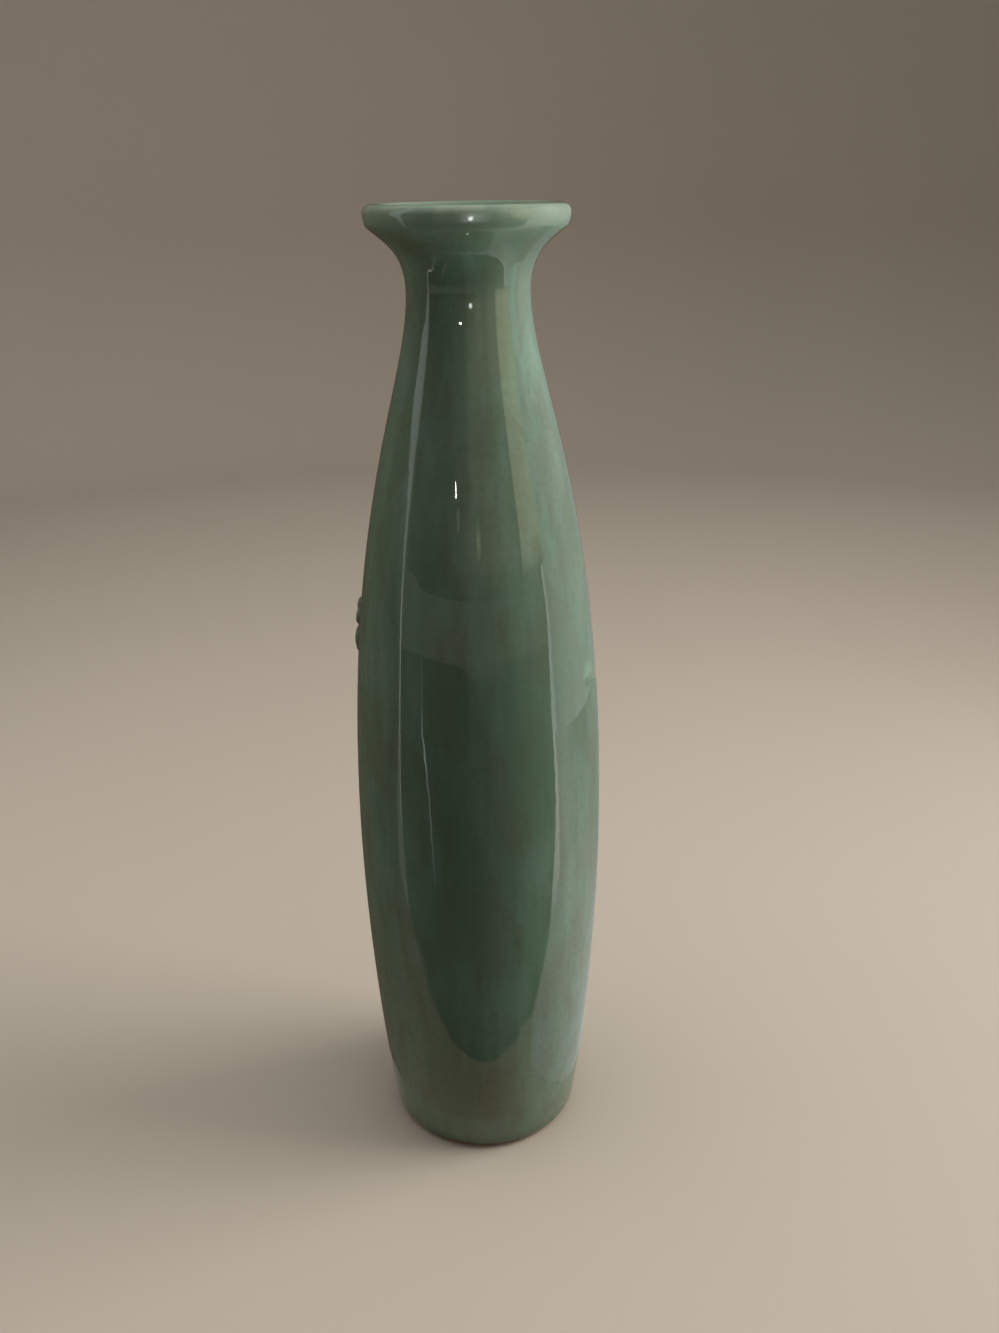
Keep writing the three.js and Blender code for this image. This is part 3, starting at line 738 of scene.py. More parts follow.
def coat_off(heights, wall_rows, lap_rows, turns):
    """How far the face stands off the outline: it is uneven, it rolls in by a quarter circle at the
    foot, and the lap lies even and proud of the lining, and dips in at its end."""
    edge_share = np.clip((heights - DRY_FOOT_HEIGHT) / EDGE_ROLL, 0, 1)
    roll = -GLAZE_COAT * (1 - np.sqrt(1 - (1 - edge_share) ** 2))
    roll[wall_rows:] = 0
    lap_share = np.zeros((len(heights), 1))
    lap_share[-lap_rows:] = np.linspace(0, 1, lap_rows)[:, None]
    lapping = LAP_PROUD * np.minimum(lap_share * 8, 1) - LAP_DIP * np.clip(lap_share * 6 - 5, 0, 1)
    return unevenness(turns, heights) * (lap_share == 0) + roll + lapping


def distance_to_vine(x, y):
    """The least distance on the unrolled plane from each point to any outline of the vine."""
    points = np.stack([x, y], axis=-1).astype(np.float32)
    least = np.full(points.shape[:-1], 1e3, np.float32)
    for outline in outlines:
        gaps = points[..., None, :] - outline.astype(np.float32)
        least = np.minimum(least, np.sqrt((gaps**2).sum(-1)).min(-1))
    return least


def wall_pool(heights, turns):
    """Where glaze gathers on the wall: a bump of the distance to the vine and one of the height
    over the foot. The plane is tried at two turns, because the vine runs past its edge."""
    pool = np.zeros((len(heights), len(turns)))
    x = ((turns - VINE_TURN + math.pi) % (2 * math.pi) - math.pi) * np.ones_like(heights)
    y = heights - VINE_HEIGHT + 0 * turns
    near = np.where((heights > VINE_HEIGHT - VINE_BELOW) & (heights < VINE_HEIGHT + VINE_ABOVE))[0]
    for shift in (0, -2 * math.pi):
        close = bump(distance_to_vine((x[near] + shift) * VINE_RADIUS, y[near]), POOL_REACH)
        pool[near] = np.maximum(pool[near], close)
    return np.maximum(pool, FOOT_POOL * bump(heights - DRY_FOOT_HEIGHT - EDGE_ROLL, FOOT_POOL_REACH))


# %% [markdown]
# ## The coat in one piece
# The face runs up from the dry foot, over the lip and into the mouth. The back returns behind it on
# the clay, unseen, so it has few rows.

# %% The coat's surface
def make_coat():
    """The wall, the lip and the lap, as one profile turned about the axis, then back down."""
    wall = spaced(part_of(wall_line, DRY_FOOT_HEIGHT, TOP), step=COAT_STEP)
    lip = spaced(lip_line, step=LIP_STEP)[1:]
    lap = part_of(inner_line, MOUTH_HEIGHT - MOUTH_LAP, MOUTH_HEIGHT)[::-1]
    lap = spaced(lap, step=LIP_STEP * 2)[1:]
    face = np.concatenate([wall, lip, lap])
    turns, heights = turns_of(COAT_COLUMNS), face[:, 1:]
    front = revolved(face, turns, coat_off(heights, len(wall), len(lap), turns))
    front[..., 2] += glaze_edge_wander(turns) * np.exp(-(heights - DRY_FOOT_HEIGHT) / WANDER_FADE)
    back = revolved(spaced(sunk(face, GLAZE_COAT)[::-1], step=BACK_STEP), turns)
    back[-1] = front[0] + EDGE_BACK * (back[-1] - front[0])
    whole = np.concatenate([front, back])
    thin, pool = np.zeros((2, *whole.shape[:2]))
    thin[: len(face)] = bump(np.linalg.norm(face - CROWN_MIDDLE, axis=1)[:, None], CROWN_REACH)
    pool[: len(wall)] = wall_pool(heights[: len(wall)], turns)
    return grid_mesh("outer_glaze_coat", whole, closed=True, thin=thin, pool=pool)


coat = make_coat()
print("the coat has", len(coat.data.polygons), "faces")

# %% [markdown]
# ## The lining
# The clay is porous, so the inside is glazed too, or the vase would sweat. The lining was poured in,
# swirled and poured out, and what stayed behind pools on the floor.

# %% The lining
SHELL_COLUMNS = 128
SHELL_STEP = 2.5
FOOT_RECESS = 2.4
FLOOR_THICKNESS = 6.0
FLOOR_TOP = FOOT_RECESS + FLOOR_THICKNESS
FLOOR_FILLET = 7.0
FILLET_POINTS = 12
FLOOR_RINGS = 10
FLOOR_POOL_REACH = 6.0
SEAT = 0.3
LINING_COAT = 0.5


def curved(start, corner, end, count):
    """A curve that cuts a corner: at each share t of the way the three points are mixed by the
    terms of ((1 - t) + t) squared."""
    t = np.linspace(0, 1, count)[:, None]
    return start * (1 - t) ** 2 + 2 * corner * t * (1 - t) + end * t**2


def floor_corner(level, depth):
    """The curve from the flat floor up into the wall, run outward."""
    wall = sunk(wall_line, depth)
    corner = np.array([along_wall(level, wall[:, 0]), level])
    top = np.array([along_wall(level + FLOOR_FILLET, wall[:, axis]) for axis in (0, 1)])
    return curved(corner - (FLOOR_FILLET, 0), corner, top, FILLET_POINTS)


def wall_skin(depth, low, high, step=SHELL_STEP):
    """The wall at one depth between two heights of the outline, with evenly spaced points."""
    return spaced(part_of(sunk(wall_line, depth), low, high), step=step)


def floor_line(level, reach):
    """Points along the flat floor, from near the axis out to the corner."""
    radii = np.linspace(reach / FLOOR_RINGS, reach, FLOOR_RINGS)[:-1]
    return np.stack([radii, np.full(len(radii), level)], axis=1)


def make_lining():
    """Out along the floor's underside, up the clay's inner wall, over, and back down the face."""
    under = FLOOR_TOP + SEAT
    over = under + LINING_COAT
    rim = MOUTH_HEIGHT - SEAT
    low_corner = floor_corner(under, LINING_DEPTH - LINING_COAT)
    high_corner = floor_corner(over, LINING_DEPTH)
    profile = np.concatenate([
        floor_line(under, low_corner[0, 0]),
        low_corner,
        wall_skin(LINING_DEPTH - LINING_COAT, under + FLOOR_FILLET, rim)[1:],
        wall_skin(LINING_DEPTH, over + FLOOR_FILLET, rim, COAT_STEP)[::-1],
        high_corner[::-1][1:],
        floor_line(over, high_corner[0, 0])[::-1],
    ])
    grid = revolved(profile, SHELL_COLUMNS)
    pool = np.broadcast_to(bump(profile[:, 1:] - over, FLOOR_POOL_REACH), grid.shape[:2])
    ends = {"low_pole": (0, 0, under), "high_pole": (0, 0, over)}
    return grid_mesh("lining_glaze_coat", grid, **ends, thin=0, pool=pool)


lining = make_lining()
print("the lining's floor is", round(FLOOR_TOP + SEAT + LINING_COAT, 1), "mm up")

# %% [markdown]
# ## The clay sections
# A tall, narrow vase is thrown in pieces that a hand can reach into, and the pieces are luted
# together with slip: the base with its foot ring, the shoulder, the neck, and the ring of the lip.
# Each joint is a lap, an inner tongue below and an outer skirt above. Only the dry foot of the base
# shows. It was turned on the wheel, so fine grooves run round it and round its hollow underside.

# %% Joints, corners and grooves
FIRST_JOINT = 104.0
SECOND_JOINT = 220.0
LAP_HEIGHT = 7.0
SLIP_GAP = 0.3
FOOT_RING_WIDTH = 5.0
FOOT_CHAMFER = 0.6
CORNER_RADIUS, CORNER_POINTS = 0.25, 4
GROOVE_PITCH, GROOVE_DEPTH, GROOVE_POINTS, GROOVE_FADE = 1.7, 0.09, 90, 2
INNERMOST = 0.5
CLAY_BACK = CLAY_DEPTH + CLAY_WALL
LAP_OUT = CLAY_DEPTH + (CLAY_WALL - SLIP_GAP) / 2
LAP_IN = LAP_OUT + SLIP_GAP


def tongue(joint):
    """The inner half of the wall, run up past a joint."""
    top = joint + LAP_HEIGHT
    return np.concatenate([wall_skin(LAP_IN, joint, top), wall_skin(CLAY_BACK, top - 1, top)[-1:]])


def skirt(joint):
    """The outer half of the wall, hung down to a joint, run downward."""
    return wall_skin(LAP_OUT, joint + SLIP_GAP, joint + LAP_HEIGHT + SLIP_GAP)[::-1]


def rounded(corners):
    """A profile whose corners are each cut by a curve, from a radius before to a radius after."""
    corners = np.array(corners, float)
    pieces = [corners[:1]]
    for before, corner, after in zip(corners[:-2], corners[1:-1], corners[2:]):
        start, end = (
            corner + side / np.linalg.norm(side) * min(CORNER_RADIUS, np.linalg.norm(side) / 2)
            for side in (before - corner, after - corner)
        )
        pieces.append(curved(start, corner, end, CORNER_POINTS))
    return np.concatenate(pieces + [corners[-1:]])


def grooved_underside(reach):
    """The hollow underside out to the foot ring: a wave out from the axis, which is what a turning
    tool leaves, and which fades out before the ring."""
    radii = np.linspace(INNERMOST, reach, GROOVE_POINTS)
    grooves = GROOVE_DEPTH * np.cos(2 * math.pi * radii / GROOVE_PITCH)
    return np.stack([radii, FOOT_RECESS + grooves * np.clip((reach - radii) / GROOVE_FADE, 0, 1)], axis=1)


# %% [markdown]
# ## Four sections on the wheel
# Each section is one closed profile, turned about the axis.

# %% The four sections
def clay_section(name, *stretches, **ends):
    """The stretches of one profile, joined and turned about the axis. It closes on itself, unless
    it has poles for its ends."""
    grid = revolved(np.concatenate(stretches), SHELL_COLUMNS)
    return grid_mesh(name + "_clay", grid, closed=not ends, **ends)


def make_base():
    """From the axis out under the floor, round the foot ring, up the wall, and back inside."""
    foot_out = float(along_wall(DRY_FOOT_HEIGHT, sunk(wall_line, CLAY_DEPTH)[:, 0]))
    foot_in = foot_out - FOOT_RING_WIDTH
    reach = foot_in - FOOT_CHAMFER - 1
    ring = rounded([
        (reach, FOOT_RECESS),
        (foot_in - FOOT_CHAMFER, FOOT_RECESS),
        (foot_in, FOOT_CHAMFER),
        (foot_in + FOOT_CHAMFER, 0),
        (foot_out - 2 * FOOT_CHAMFER, 0),
        (foot_out - FOOT_CHAMFER, FOOT_CHAMFER),
        (foot_out, DRY_FOOT_HEIGHT),
    ])
    corner = floor_corner(FLOOR_TOP, CLAY_BACK)
    return clay_section(
        "base_section",
        grooved_underside(reach),
        ring[1:],
        wall_skin(CLAY_DEPTH, DRY_FOOT_HEIGHT, FIRST_JOINT)[1:],
        tongue(FIRST_JOINT),
        wall_skin(CLAY_BACK, FLOOR_TOP + FLOOR_FILLET, FIRST_JOINT + LAP_HEIGHT - 1)[::-1],
        corner[::-1][1:],
        floor_line(FLOOR_TOP, corner[0, 0])[::-1],
        low_pole=(0, 0, FOOT_RECESS),
        high_pole=(0, 0, FLOOR_TOP),
    )


def make_ring(name, joint, top, back_top, *tongue_up):
    """Up the wall's face from a joint, over the tongue if there is one, down its back and round the
    skirt."""
    face = wall_skin(CLAY_DEPTH, joint + SLIP_GAP, top)
    back = wall_skin(CLAY_BACK, joint + LAP_HEIGHT + SLIP_GAP, back_top)[::-1]
    return clay_section(name, face, *tongue_up, back, skirt(joint))


def make_lip():
    """Up the flare, round under the lip's glaze, and down to the joint."""
    seat = MOUTH_HEIGHT + SLIP_GAP
    rim = spaced(sunk(lip_line, CLAY_DEPTH), step=LIP_STEP * 2)[1:-2]
    face = wall_skin(CLAY_DEPTH, seat, FLARE[1], LIP_STEP * 2)
    return clay_section("lip_ring", face, rim, wall_skin(CLAY_BACK, MOUTH_HEIGHT - 1, seat)[-1:])


clay_pieces = {
    "base_section": make_base(),
    "shoulder_section": make_ring(
        "shoulder_section", FIRST_JOINT, SECOND_JOINT, SECOND_JOINT + LAP_HEIGHT - 1, tongue(SECOND_JOINT)
    ),
    "neck_section": make_ring("neck_section", SECOND_JOINT, MOUTH_HEIGHT, MOUTH_HEIGHT),
    "lip_ring": make_lip(),
}
print("clay pieces:", ", ".join(clay_pieces))

# %% [markdown]
# ## Building with nodes
# A material is a small network. These helpers place a node, set its sockets and join them in one
# call, so that each finish below reads as a recipe.

# %% Node helpers
def fill(tree, node, inputs):
    """Sets a node's sockets, each by its name or number, to a value or to another socket."""
    for key, value in inputs.items():
        if isinstance(value, bpy.types.NodeSocket):
            tree.links.new(value, node.inputs[key])
        else:
            node.inputs[key].default_value = value
    return node


def place(tree, kind, inputs=None, **settings):
    """Adds a node with its settings and its sockets."""
    node = tree.nodes.new(kind)
    for key, value in settings.items():
        setattr(node, key, value)
    return fill(tree, node, inputs or {})


def remap(tree, value, low, high, to_low=0.0, to_high=1.0):
    """Maps a value from one span to another, smoothly at both ends, and holds it there."""
    inputs = {"Value": value, 1: low, 2: high, 3: to_low, 4: to_high}
    return place(tree, "ShaderNodeMapRange", inputs, interpolation_type="SMOOTHSTEP").outputs[0]


def times(tree, first, second):
    """The product of two values."""
    return place(tree, "ShaderNodeMath", {0: first, 1: second}, operation="MULTIPLY").outputs[0]


def add(tree, first, second, share=1.0):
    """The first value and a share of the second."""
    inputs = {0: first, 1: times(tree, second, share)}
    return place(tree, "ShaderNodeMath", inputs, operation="ADD").outputs[0]


def mixed(tree, share, first, second):
    """A share of the way from the first colour to the second."""
    inputs = {0: share, 6: first, 7: second}
    return place(tree, "ShaderNodeMix", inputs, data_type="RGBA").outputs[2]


def scaled_place(tree, scale):
    """The object's own coordinates in metres, stretched along each axis."""
    coordinates = tree.nodes.new("ShaderNodeTexCoord").outputs["Object"]
    return place(tree, "ShaderNodeMapping", {"Vector": coordinates, "Scale": scale}).outputs[0]


def noise(tree, scale, detail, roughness, stretch=(1, 1, 1), distortion=0.0):
    """Cloudy noise with a scale in cells to the metre."""
    inputs = {
        "Vector": scaled_place(tree, stretch), "Scale": scale, "Detail": detail,
        "Roughness": roughness, "Distortion": distortion,
    }
    return place(tree, "ShaderNodeTexNoise", inputs).outputs["Fac"]


def cells(tree, scale):
    """The distance to the middle of a cell, with a scale in cells to the metre."""
    inputs = {"Vector": scaled_place(tree, (1, 1, 1)), "Scale": scale}
    return place(tree, "ShaderNodeTexVoronoi", inputs).outputs["Distance"]


def attribute(tree, name):
    """A number that the mesh carries at every point."""
    return place(tree, "ShaderNodeAttribute", attribute_name=name).outputs["Fac"]


# %% [markdown]
# ## Groups and materials
# What several materials share is a group that hands out a colour, a roughness and a height. The
# gloss itself stays in the material.

# %% Groups and materials
def new_group(name, colors, numbers=()):
    """An empty node group, with its sockets for colours and numbers and those that it hands out."""
    group = bpy.data.node_groups.new(name, "ShaderNodeTree")
    sockets = [
        ("INPUT", "Color", colors), ("INPUT", "Float", numbers),
        ("OUTPUT", "Color", ["Color"]), ("OUTPUT", "Float", ["Roughness", "Height"]),
    ]
    for side, kind, labels in sockets:
        for label in labels:
            group.interface.new_socket(label, in_out=side, socket_type="NodeSocket" + kind)
    return group, group.nodes.new("NodeGroupInput"), group.nodes.new("NodeGroupOutput")


def new_material(name):
    """A material, its node tree, and the shader that it starts with."""
    material = bpy.data.materials.new(name)
    material.use_nodes = True
    return material, material.node_tree, material.node_tree.nodes["Principled BSDF"]


def grouped_material(name, group_tree, colors, bumping, depth, ior):
    """A material whose colour, roughness and relief come from a node group in its own colours."""
    material, tree, shader = new_material(name)
    opaque = {label: (*color, 1) for label, color in colors.items()}
    group = place(tree, "ShaderNodeGroup", node_tree=group_tree)
    color, roughness, height = fill(tree, group, opaque).outputs
    relief = place(tree, "ShaderNodeBump", {"Strength": bumping, "Distance": depth, "Height": height})
    surface = {"Base Color": color, "Roughness": roughness, "IOR": ior, "Normal": relief.outputs["Normal"]}
    fill(tree, shader, surface)
    return material, tree, group


# %% [markdown]
# ## The glaze's colour
# The green is a glass coloured by copper and a little iron over a warm clay. Close up it is never
# one colour: it clouds over areas the size of a coin, it runs down in soft upright streaks, and it
# is mottled like a curd at the scale of a millimetre. It turns paler and bluer where it lies thick
# and milky, and yellow to brown where it is thin and the clay grins through. The group below lays
# these over each other from large to small, so that every glazed piece shares them.

# %% The glaze group
GLAZE_COLORS = ("Deep", "Body", "Milk", "Warm", "Break")
CLOUD_STRETCH, PATCH_STRETCH = (1, 1, 0.4), (1, 1, 0.35)
RUN_STRETCH, FINE_RUN_STRETCH = (1, 1, 0.09), (1, 1, 0.06)
GLOSS = (0.012, 0.035)
POOL_DEPTH = 0.7
SWELL_HEIGHT, PIT_HEIGHT, FLECK_HEIGHT = 0.05, 0.012, 0.006
glaze_group, glaze_in, glaze_out = new_group("glaze pattern", GLAZE_COLORS, ("Thin", "Pool"))


def fill_glaze_group(tree):
    """Clouds and upright runs choose between body and milk. Warm patches, deep mottling and pale
    flecks go over that, each as a mask that is faint and soft, and the masks of thin and pooled
    glaze come last. The height is a slow swell, shallow pits and the flecks."""
    deep, body, milk, warm, broken, thin, pool = list(glaze_in.outputs)[:7]
    clouds = noise(tree, 55, 3, 0.5, CLOUD_STRETCH, 0.3)
    runs = noise(tree, 210, 3, 0.5, RUN_STRETCH)
    fine_runs = noise(tree, 640, 2, 0.5, FINE_RUN_STRETCH)
    mottle = noise(tree, 520, 5, 0.7)
    flecks = noise(tree, 1500, 3, 0.6)
    patches = noise(tree, 100, 2, 0.5, PATCH_STRETCH, 0.6)
    milky = remap(tree, add(tree, add(tree, clouds, runs, 0.45), fine_runs, 0.2), 0.62, 1.06)
    color = mixed(tree, milky, body, milk)
    color = mixed(tree, remap(tree, patches, 0.42, 0.66, 0.0, 0.6), color, warm)
    color = mixed(tree, remap(tree, add(tree, mottle, clouds, 0.4), 0.6, 0.95, 0.0, 0.22), color, deep)
    color = mixed(tree, remap(tree, flecks, 0.56, 0.74, 0.0, 0.14), color, milk)
    drawn = remap(tree, add(tree, patches, mottle, 0.3), 0.45, 0.8, 0.55, 1.0)
    color = mixed(tree, times(tree, thin, drawn), color, broken)
    color = mixed(tree, times(tree, pool, POOL_DEPTH), color, deep)
    roughness = remap(tree, mottle, 0.3, 0.75, *GLOSS)
    pits = remap(tree, cells(tree, 420), 0.0, 0.12)
    swell = noise(tree, 150, 2, 0.5, PATCH_STRETCH)
    height = add(tree, add(tree, times(tree, swell, SWELL_HEIGHT), pits, PIT_HEIGHT), flecks, FLECK_HEIGHT)
    fill(tree, glaze_out, {"Color": color, "Roughness": roughness, "Height": height})


fill_glaze_group(glaze_group)
print("the glaze group has", len(glaze_group.nodes), "nodes")

# %% [markdown]
# ## One material for each glaze
# The gloss itself is plain: a smooth dielectric a little denser than window glass. The same group
# gives each piece its colours. The vine is under the same glaze, but on its crests the glaze is
# thinner, so it breaks to brown there. On the lip it draws off too, and goes pale over the slip.

# %% Glaze materials
GLAZE_IOR = 1.55
GLAZE_BUMP = 0.35
GLAZE_RELIEF = 0.0004
GREEN = {
    "Deep": (0.047, 0.088, 0.054), "Body": (0.112, 0.18, 0.118), "Milk": (0.155, 0.24, 0.172),
    "Warm": (0.126, 0.152, 0.1), "Break": (0.26, 0.32, 0.24),
}
# each glaze: how far it thins on its crests, and where it departs from the green
GLAZES = {
    "green": (1.0, {}),
    "lining": (0.0, {"Body": (0.14, 0.21, 0.155), "Milk": (0.21, 0.3, 0.245)}),
    "petal": (0.65, {"Body": (0.115, 0.175, 0.122), "Milk": (0.17, 0.25, 0.2), "Break": (0.16, 0.14, 0.09)}),
    "spot": (1.0, {"Break": (0.21, 0.33, 0.22)}),
    "leaf": (0.6, {"Body": (0.075, 0.14, 0.075), "Break": (0.15, 0.125, 0.065)}),
    "stem": (0.7, {"Body": (0.1, 0.13, 0.08), "Break": (0.14, 0.095, 0.055)}),
    "bud": (0.7, {"Body": (0.15, 0.2, 0.135), "Break": (0.27, 0.3, 0.2)}),
}


def glaze_material(name, thinned, colors):
    """The glaze group over a glossy coat, led by the masks that the mesh carries."""
    material, tree, group = grouped_material(name, glaze_group, colors, GLAZE_BUMP, GLAZE_RELIEF, GLAZE_IOR)
    thin = times(tree, attribute(tree, "thin"), thinned)
    fill(tree, group, {"Thin": thin, "Pool": attribute(tree, "pool")})
    return material


glazes = {
    kind: glaze_material(kind + " glaze", thinned, GREEN | own)
    for kind, (thinned, own) in GLAZES.items()
}
print("glazes:", ", ".join(glazes))

# %% [markdown]
# ## Bare clay
# The foot is fired earthenware, dry and matt. It is warm brown with darker grog in it, paler dust
# lies on it in patches, and the turning grooves catch the light.

# %% The clay group and its material
CLAY_IOR = 1.45
CLAY_BUMP = 0.5
CLAY_RELIEF = 0.0002
CLAY_COLORS = {"Ground": (0.33, 0.17, 0.08), "Grog": (0.16, 0.08, 0.045), "Dust": (0.5, 0.33, 0.2)}
CLAY_ROUGHNESS = (0.78, 0.95)
GRAIN_HEIGHT = 0.6
clay_group, clay_in, clay_out = new_group("clay grain", CLAY_COLORS)


def fill_clay_group(tree):
    """Broad patches of dust over the ground colour, grains of grog, and sand on the surface."""
    ground, grog, dust = list(clay_in.outputs)[:3]
    patches = remap(tree, noise(tree, 90, 4, 0.6), 0.4, 0.65, 0.0, 0.6)
    chosen = remap(tree, noise(tree, 1300, 2, 0.5), 0.52, 0.6)
    grains = times(tree, remap(tree, cells(tree, 900), 0.28, 0.1), chosen)
    color = mixed(tree, grains, mixed(tree, patches, ground, dust), grog)
    sand = noise(tree, 2400, 3, 0.7)
    roughness = remap(tree, sand, 0.3, 0.7, *CLAY_ROUGHNESS)
    height = add(tree, sand, grains, GRAIN_HEIGHT)
    fill(tree, clay_out, {"Color": color, "Roughness": roughness, "Height": height})


fill_clay_group(clay_group)
clay = grouped_material("fired clay", clay_group, CLAY_COLORS, CLAY_BUMP, CLAY_RELIEF, CLAY_IOR)[0]
print("the clay group has", len(clay_group.nodes), "nodes")

# %% [markdown]
# ## Handing the pieces to the frame
# Each finished piece rides on the vase's one body, takes the material of its finish, and stands for
# the plain solid that it was built over, which is hidden.

# %% Dress the frame
def dress(piece, node, material):
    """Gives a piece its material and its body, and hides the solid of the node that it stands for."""
    piece.data.materials.append(material)
    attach(piece, "root")
    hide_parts(node)


dress(coat, "outer_glaze", glazes["green"])
dress(lining, "lining_glaze", glazes["lining"])
for node, piece in clay_pieces.items():
    dress(piece, node, clay)
for node, (piece, slot) in vine_pieces.items():
    dress(piece, node, glazes["spot" if node == "stray_bud" else slot])
print("dressed", 2 + len(clay_pieces) + len(vine_pieces), "pieces")

# %% [markdown]
# ## Floor and backdrop
# The vase stands on a plain pale floor that curves up into a plain wall all round, like a wide
# bowl, so no line crosses the picture from any side. The bowl is a profile turned about the axis.

# %% The bowl
BOWL_FLOOR = 1000.0
BOWL_CURVE = 260.0
BOWL_TOP = 900.0
BOWL_COLUMNS = 96
BOWL_BEND_POINTS = 24
BOWL_FLOOR_RINGS = [1.0, 60, 150, 400]
PAPER_PALE = (0.45, 0.392, 0.328, 1)
PAPER_CLOUD = (0.48, 0.418, 0.35, 1)


def make_bowl():
    """Flat out to the curve, a quarter circle, then straight up. The profile runs down the wall and
    in to the axis, so that the faces look inward."""
    bend = np.linspace(0, math.pi / 2, BOWL_BEND_POINTS)
    out = [*BOWL_FLOOR_RINGS, *(BOWL_FLOOR + BOWL_CURVE * np.sin(bend)), BOWL_FLOOR + BOWL_CURVE]
    height = [*(0 * ring for ring in BOWL_FLOOR_RINGS), *(BOWL_CURVE * (1 - np.cos(bend))), BOWL_TOP]
    profile = np.stack([out, height], axis=1)[::-1]
    return grid_mesh("paper_bowl", revolved(profile, BOWL_COLUMNS), high_pole=(0, 0, 0))


def paper_material():
    """Pale matt paper with the faintest cloud in its colour."""
    material, tree, shader = new_material("pale paper")
    color = mixed(tree, noise(tree, 3, 2, 0.55), PAPER_PALE, PAPER_CLOUD)
    fill(tree, shader, {"Base Color": color, "Roughness": 0.8, "Specular IOR Level": 0.2})
    return material


bowl = make_bowl()
bowl.data.materials.append(paper_material())
print("the bowl is", BOWL_FLOOR + BOWL_CURVE, "mm in radius")

# %% [markdown]
# ## Black cloth
# A glossy pot mirrors the floor at its feet. Photographers lay black cloth just in front of such a
# pot, so that its face stays deep and only the foot mirrors the pale floor. Here only mirrored and
# bounced light meets the cloth: the camera and the shadows pass it by, and from below it is clear.
# A second cloth hangs far in front, and keeps bounced light off the face of the vase.

# %% The cloth and the flag
CLOTH_REACH = 950.0
CLOTH_LIFT = 0.5
CLOTH_EDGE = [(CLOTH_REACH, -200), (165, -71), (-165, -71), (-380, -119), (-CLOTH_REACH, -205)]
FLAG_REACH = 1000.0
FLAG_HEIGHT = 900.0
BLACK = (0.02, 0.02, 0.018, 1)


def clear_behind(tree, surface):
    """A shader that shows from the front and is clear from behind, by Geometry's Backfacing."""
    behind = tree.nodes.new("ShaderNodeNewGeometry").outputs["Backfacing"]
    clear = tree.nodes.new("ShaderNodeBsdfTransparent").outputs[0]
    return place(tree, "ShaderNodeMixShader", {0: behind, 1: surface, 2: clear}).outputs[0]


def end_with(tree, surface):
    """Makes a shader the material's surface."""
    fill(tree, tree.nodes["Material Output"], {"Surface": surface})


def hide(piece, *rays):
    """Hides an object from some kinds of rays."""
    for kind in rays:
        setattr(piece, "visible_" + kind, False)


def cloth_material():
    """Matt black on the side that its face looks to, and clear from behind."""
    material, tree, shader = new_material("black cloth")
    fill(tree, shader, {"Base Color": BLACK, "Roughness": 1.0, "Specular IOR Level": 0.0})
    end_with(tree, clear_behind(tree, shader.outputs[0]))
    return material


def flat_cloth(name, corners, *unseen_by):
    """One flat piece of the black cloth."""
    mesh = bpy.data.meshes.new(name)
    mesh.from_pydata([tuple(Vector(corner) * MM) for corner in corners], [], [range(len(corners))])
    mesh.materials.append(black_cloth)
    cloth = show(bpy.data.objects.new(name, mesh))
    hide(cloth, *unseen_by)


black_cloth = cloth_material()
outline = [(-CLOTH_REACH, -CLOTH_REACH), (CLOTH_REACH, -CLOTH_REACH), *CLOTH_EDGE]
flat_cloth("black_cloth", [(x, y, CLOTH_LIFT) for x, y in outline], "camera", "shadow")
outline = [(FLAG_REACH, 0), (-FLAG_REACH, 0), (-FLAG_REACH, FLAG_HEIGHT), (FLAG_REACH, FLAG_HEIGHT)]
flat_cloth("black_flag", [(x, -FLAG_REACH, z) for x, z in outline], "camera", "glossy", "shadow")
print("the cloth's edge is", -CLOTH_EDGE[1][1], "mm before the axis")

# %% [markdown]
# ## Light
# A large key light high on the right models the body from light to dark, and one overhead fills the
# floor. Panels at the sides and small lamps near the neck, the lip and the foot lift what the key
# leaves dark. All but one small, far lamp are kept out of the reflections, as a polarising sheet does.

# %% Lamps
COOL = (0.93, 1.0, 0.96)
WARM = (1.0, 0.9, 0.6)
PLAIN = (1.0, 0.97, 0.92)
ROOM_WARM = (1.0, 0.68, 0.5)
KEY_TURN = 92.0
KEY_RISE = 35.0
KEY_DISTANCE = 1600.0
KEY_MIDDLE = 150.0
OVERHEAD_HEIGHT = 1600.0
OPEN = 180
# a name, a width and a height, a radiance and a colour, then a turn toward the right, a distance,
# a height and an upward tilt, and the spread of the beam
UPRIGHT_LAMPS = [
    ("neck_lamp", 44, 44, 2.4, COOL, (48, 64, 262, 75), OPEN),
    ("left_panel", 600, 600, 0.85, COOL, (-95, 600, 500, 0), OPEN),
    ("lip_lamp", 64, 8, 11.0, COOL, (4, 112, 301, 0), 26),
    ("low_panel", 440, 200, 3.4, PLAIN, (80, 640, 210, 0), OPEN),
    ("right_fill", 420, 570, 1.15, COOL, (98, 480, 415, 0), OPEN),
    ("low_fill", 130, 10, 13.0, PLAIN, (25, 205, 9, 24), 46),
    ("lamp_left", 9, 16, 50.0, PLAIN, (-17.8, 900, 399, 0), OPEN),
]


def lamp(name, width, height, radiance, color, matrix, spread):
    """A rectangle of light. Its power is its radiance times pi times its area, and times the share
    of a full half space that its beam fills, which is 1 less half the spread over its tangent."""
    half = math.radians(spread) / 2
    data = bpy.data.lights.new(name, "AREA")
    data.shape = "RECTANGLE"
    data.size = width * MM
    data.size_y = height * MM
    data.color = color
    data.spread = 2 * half
    data.energy = radiance * math.pi * data.size * data.size_y * (1 - half / math.tan(half))
    piece = show(bpy.data.objects.new(name, data))
    piece.matrix_world = matrix
    hide(piece, "camera", "glossy")


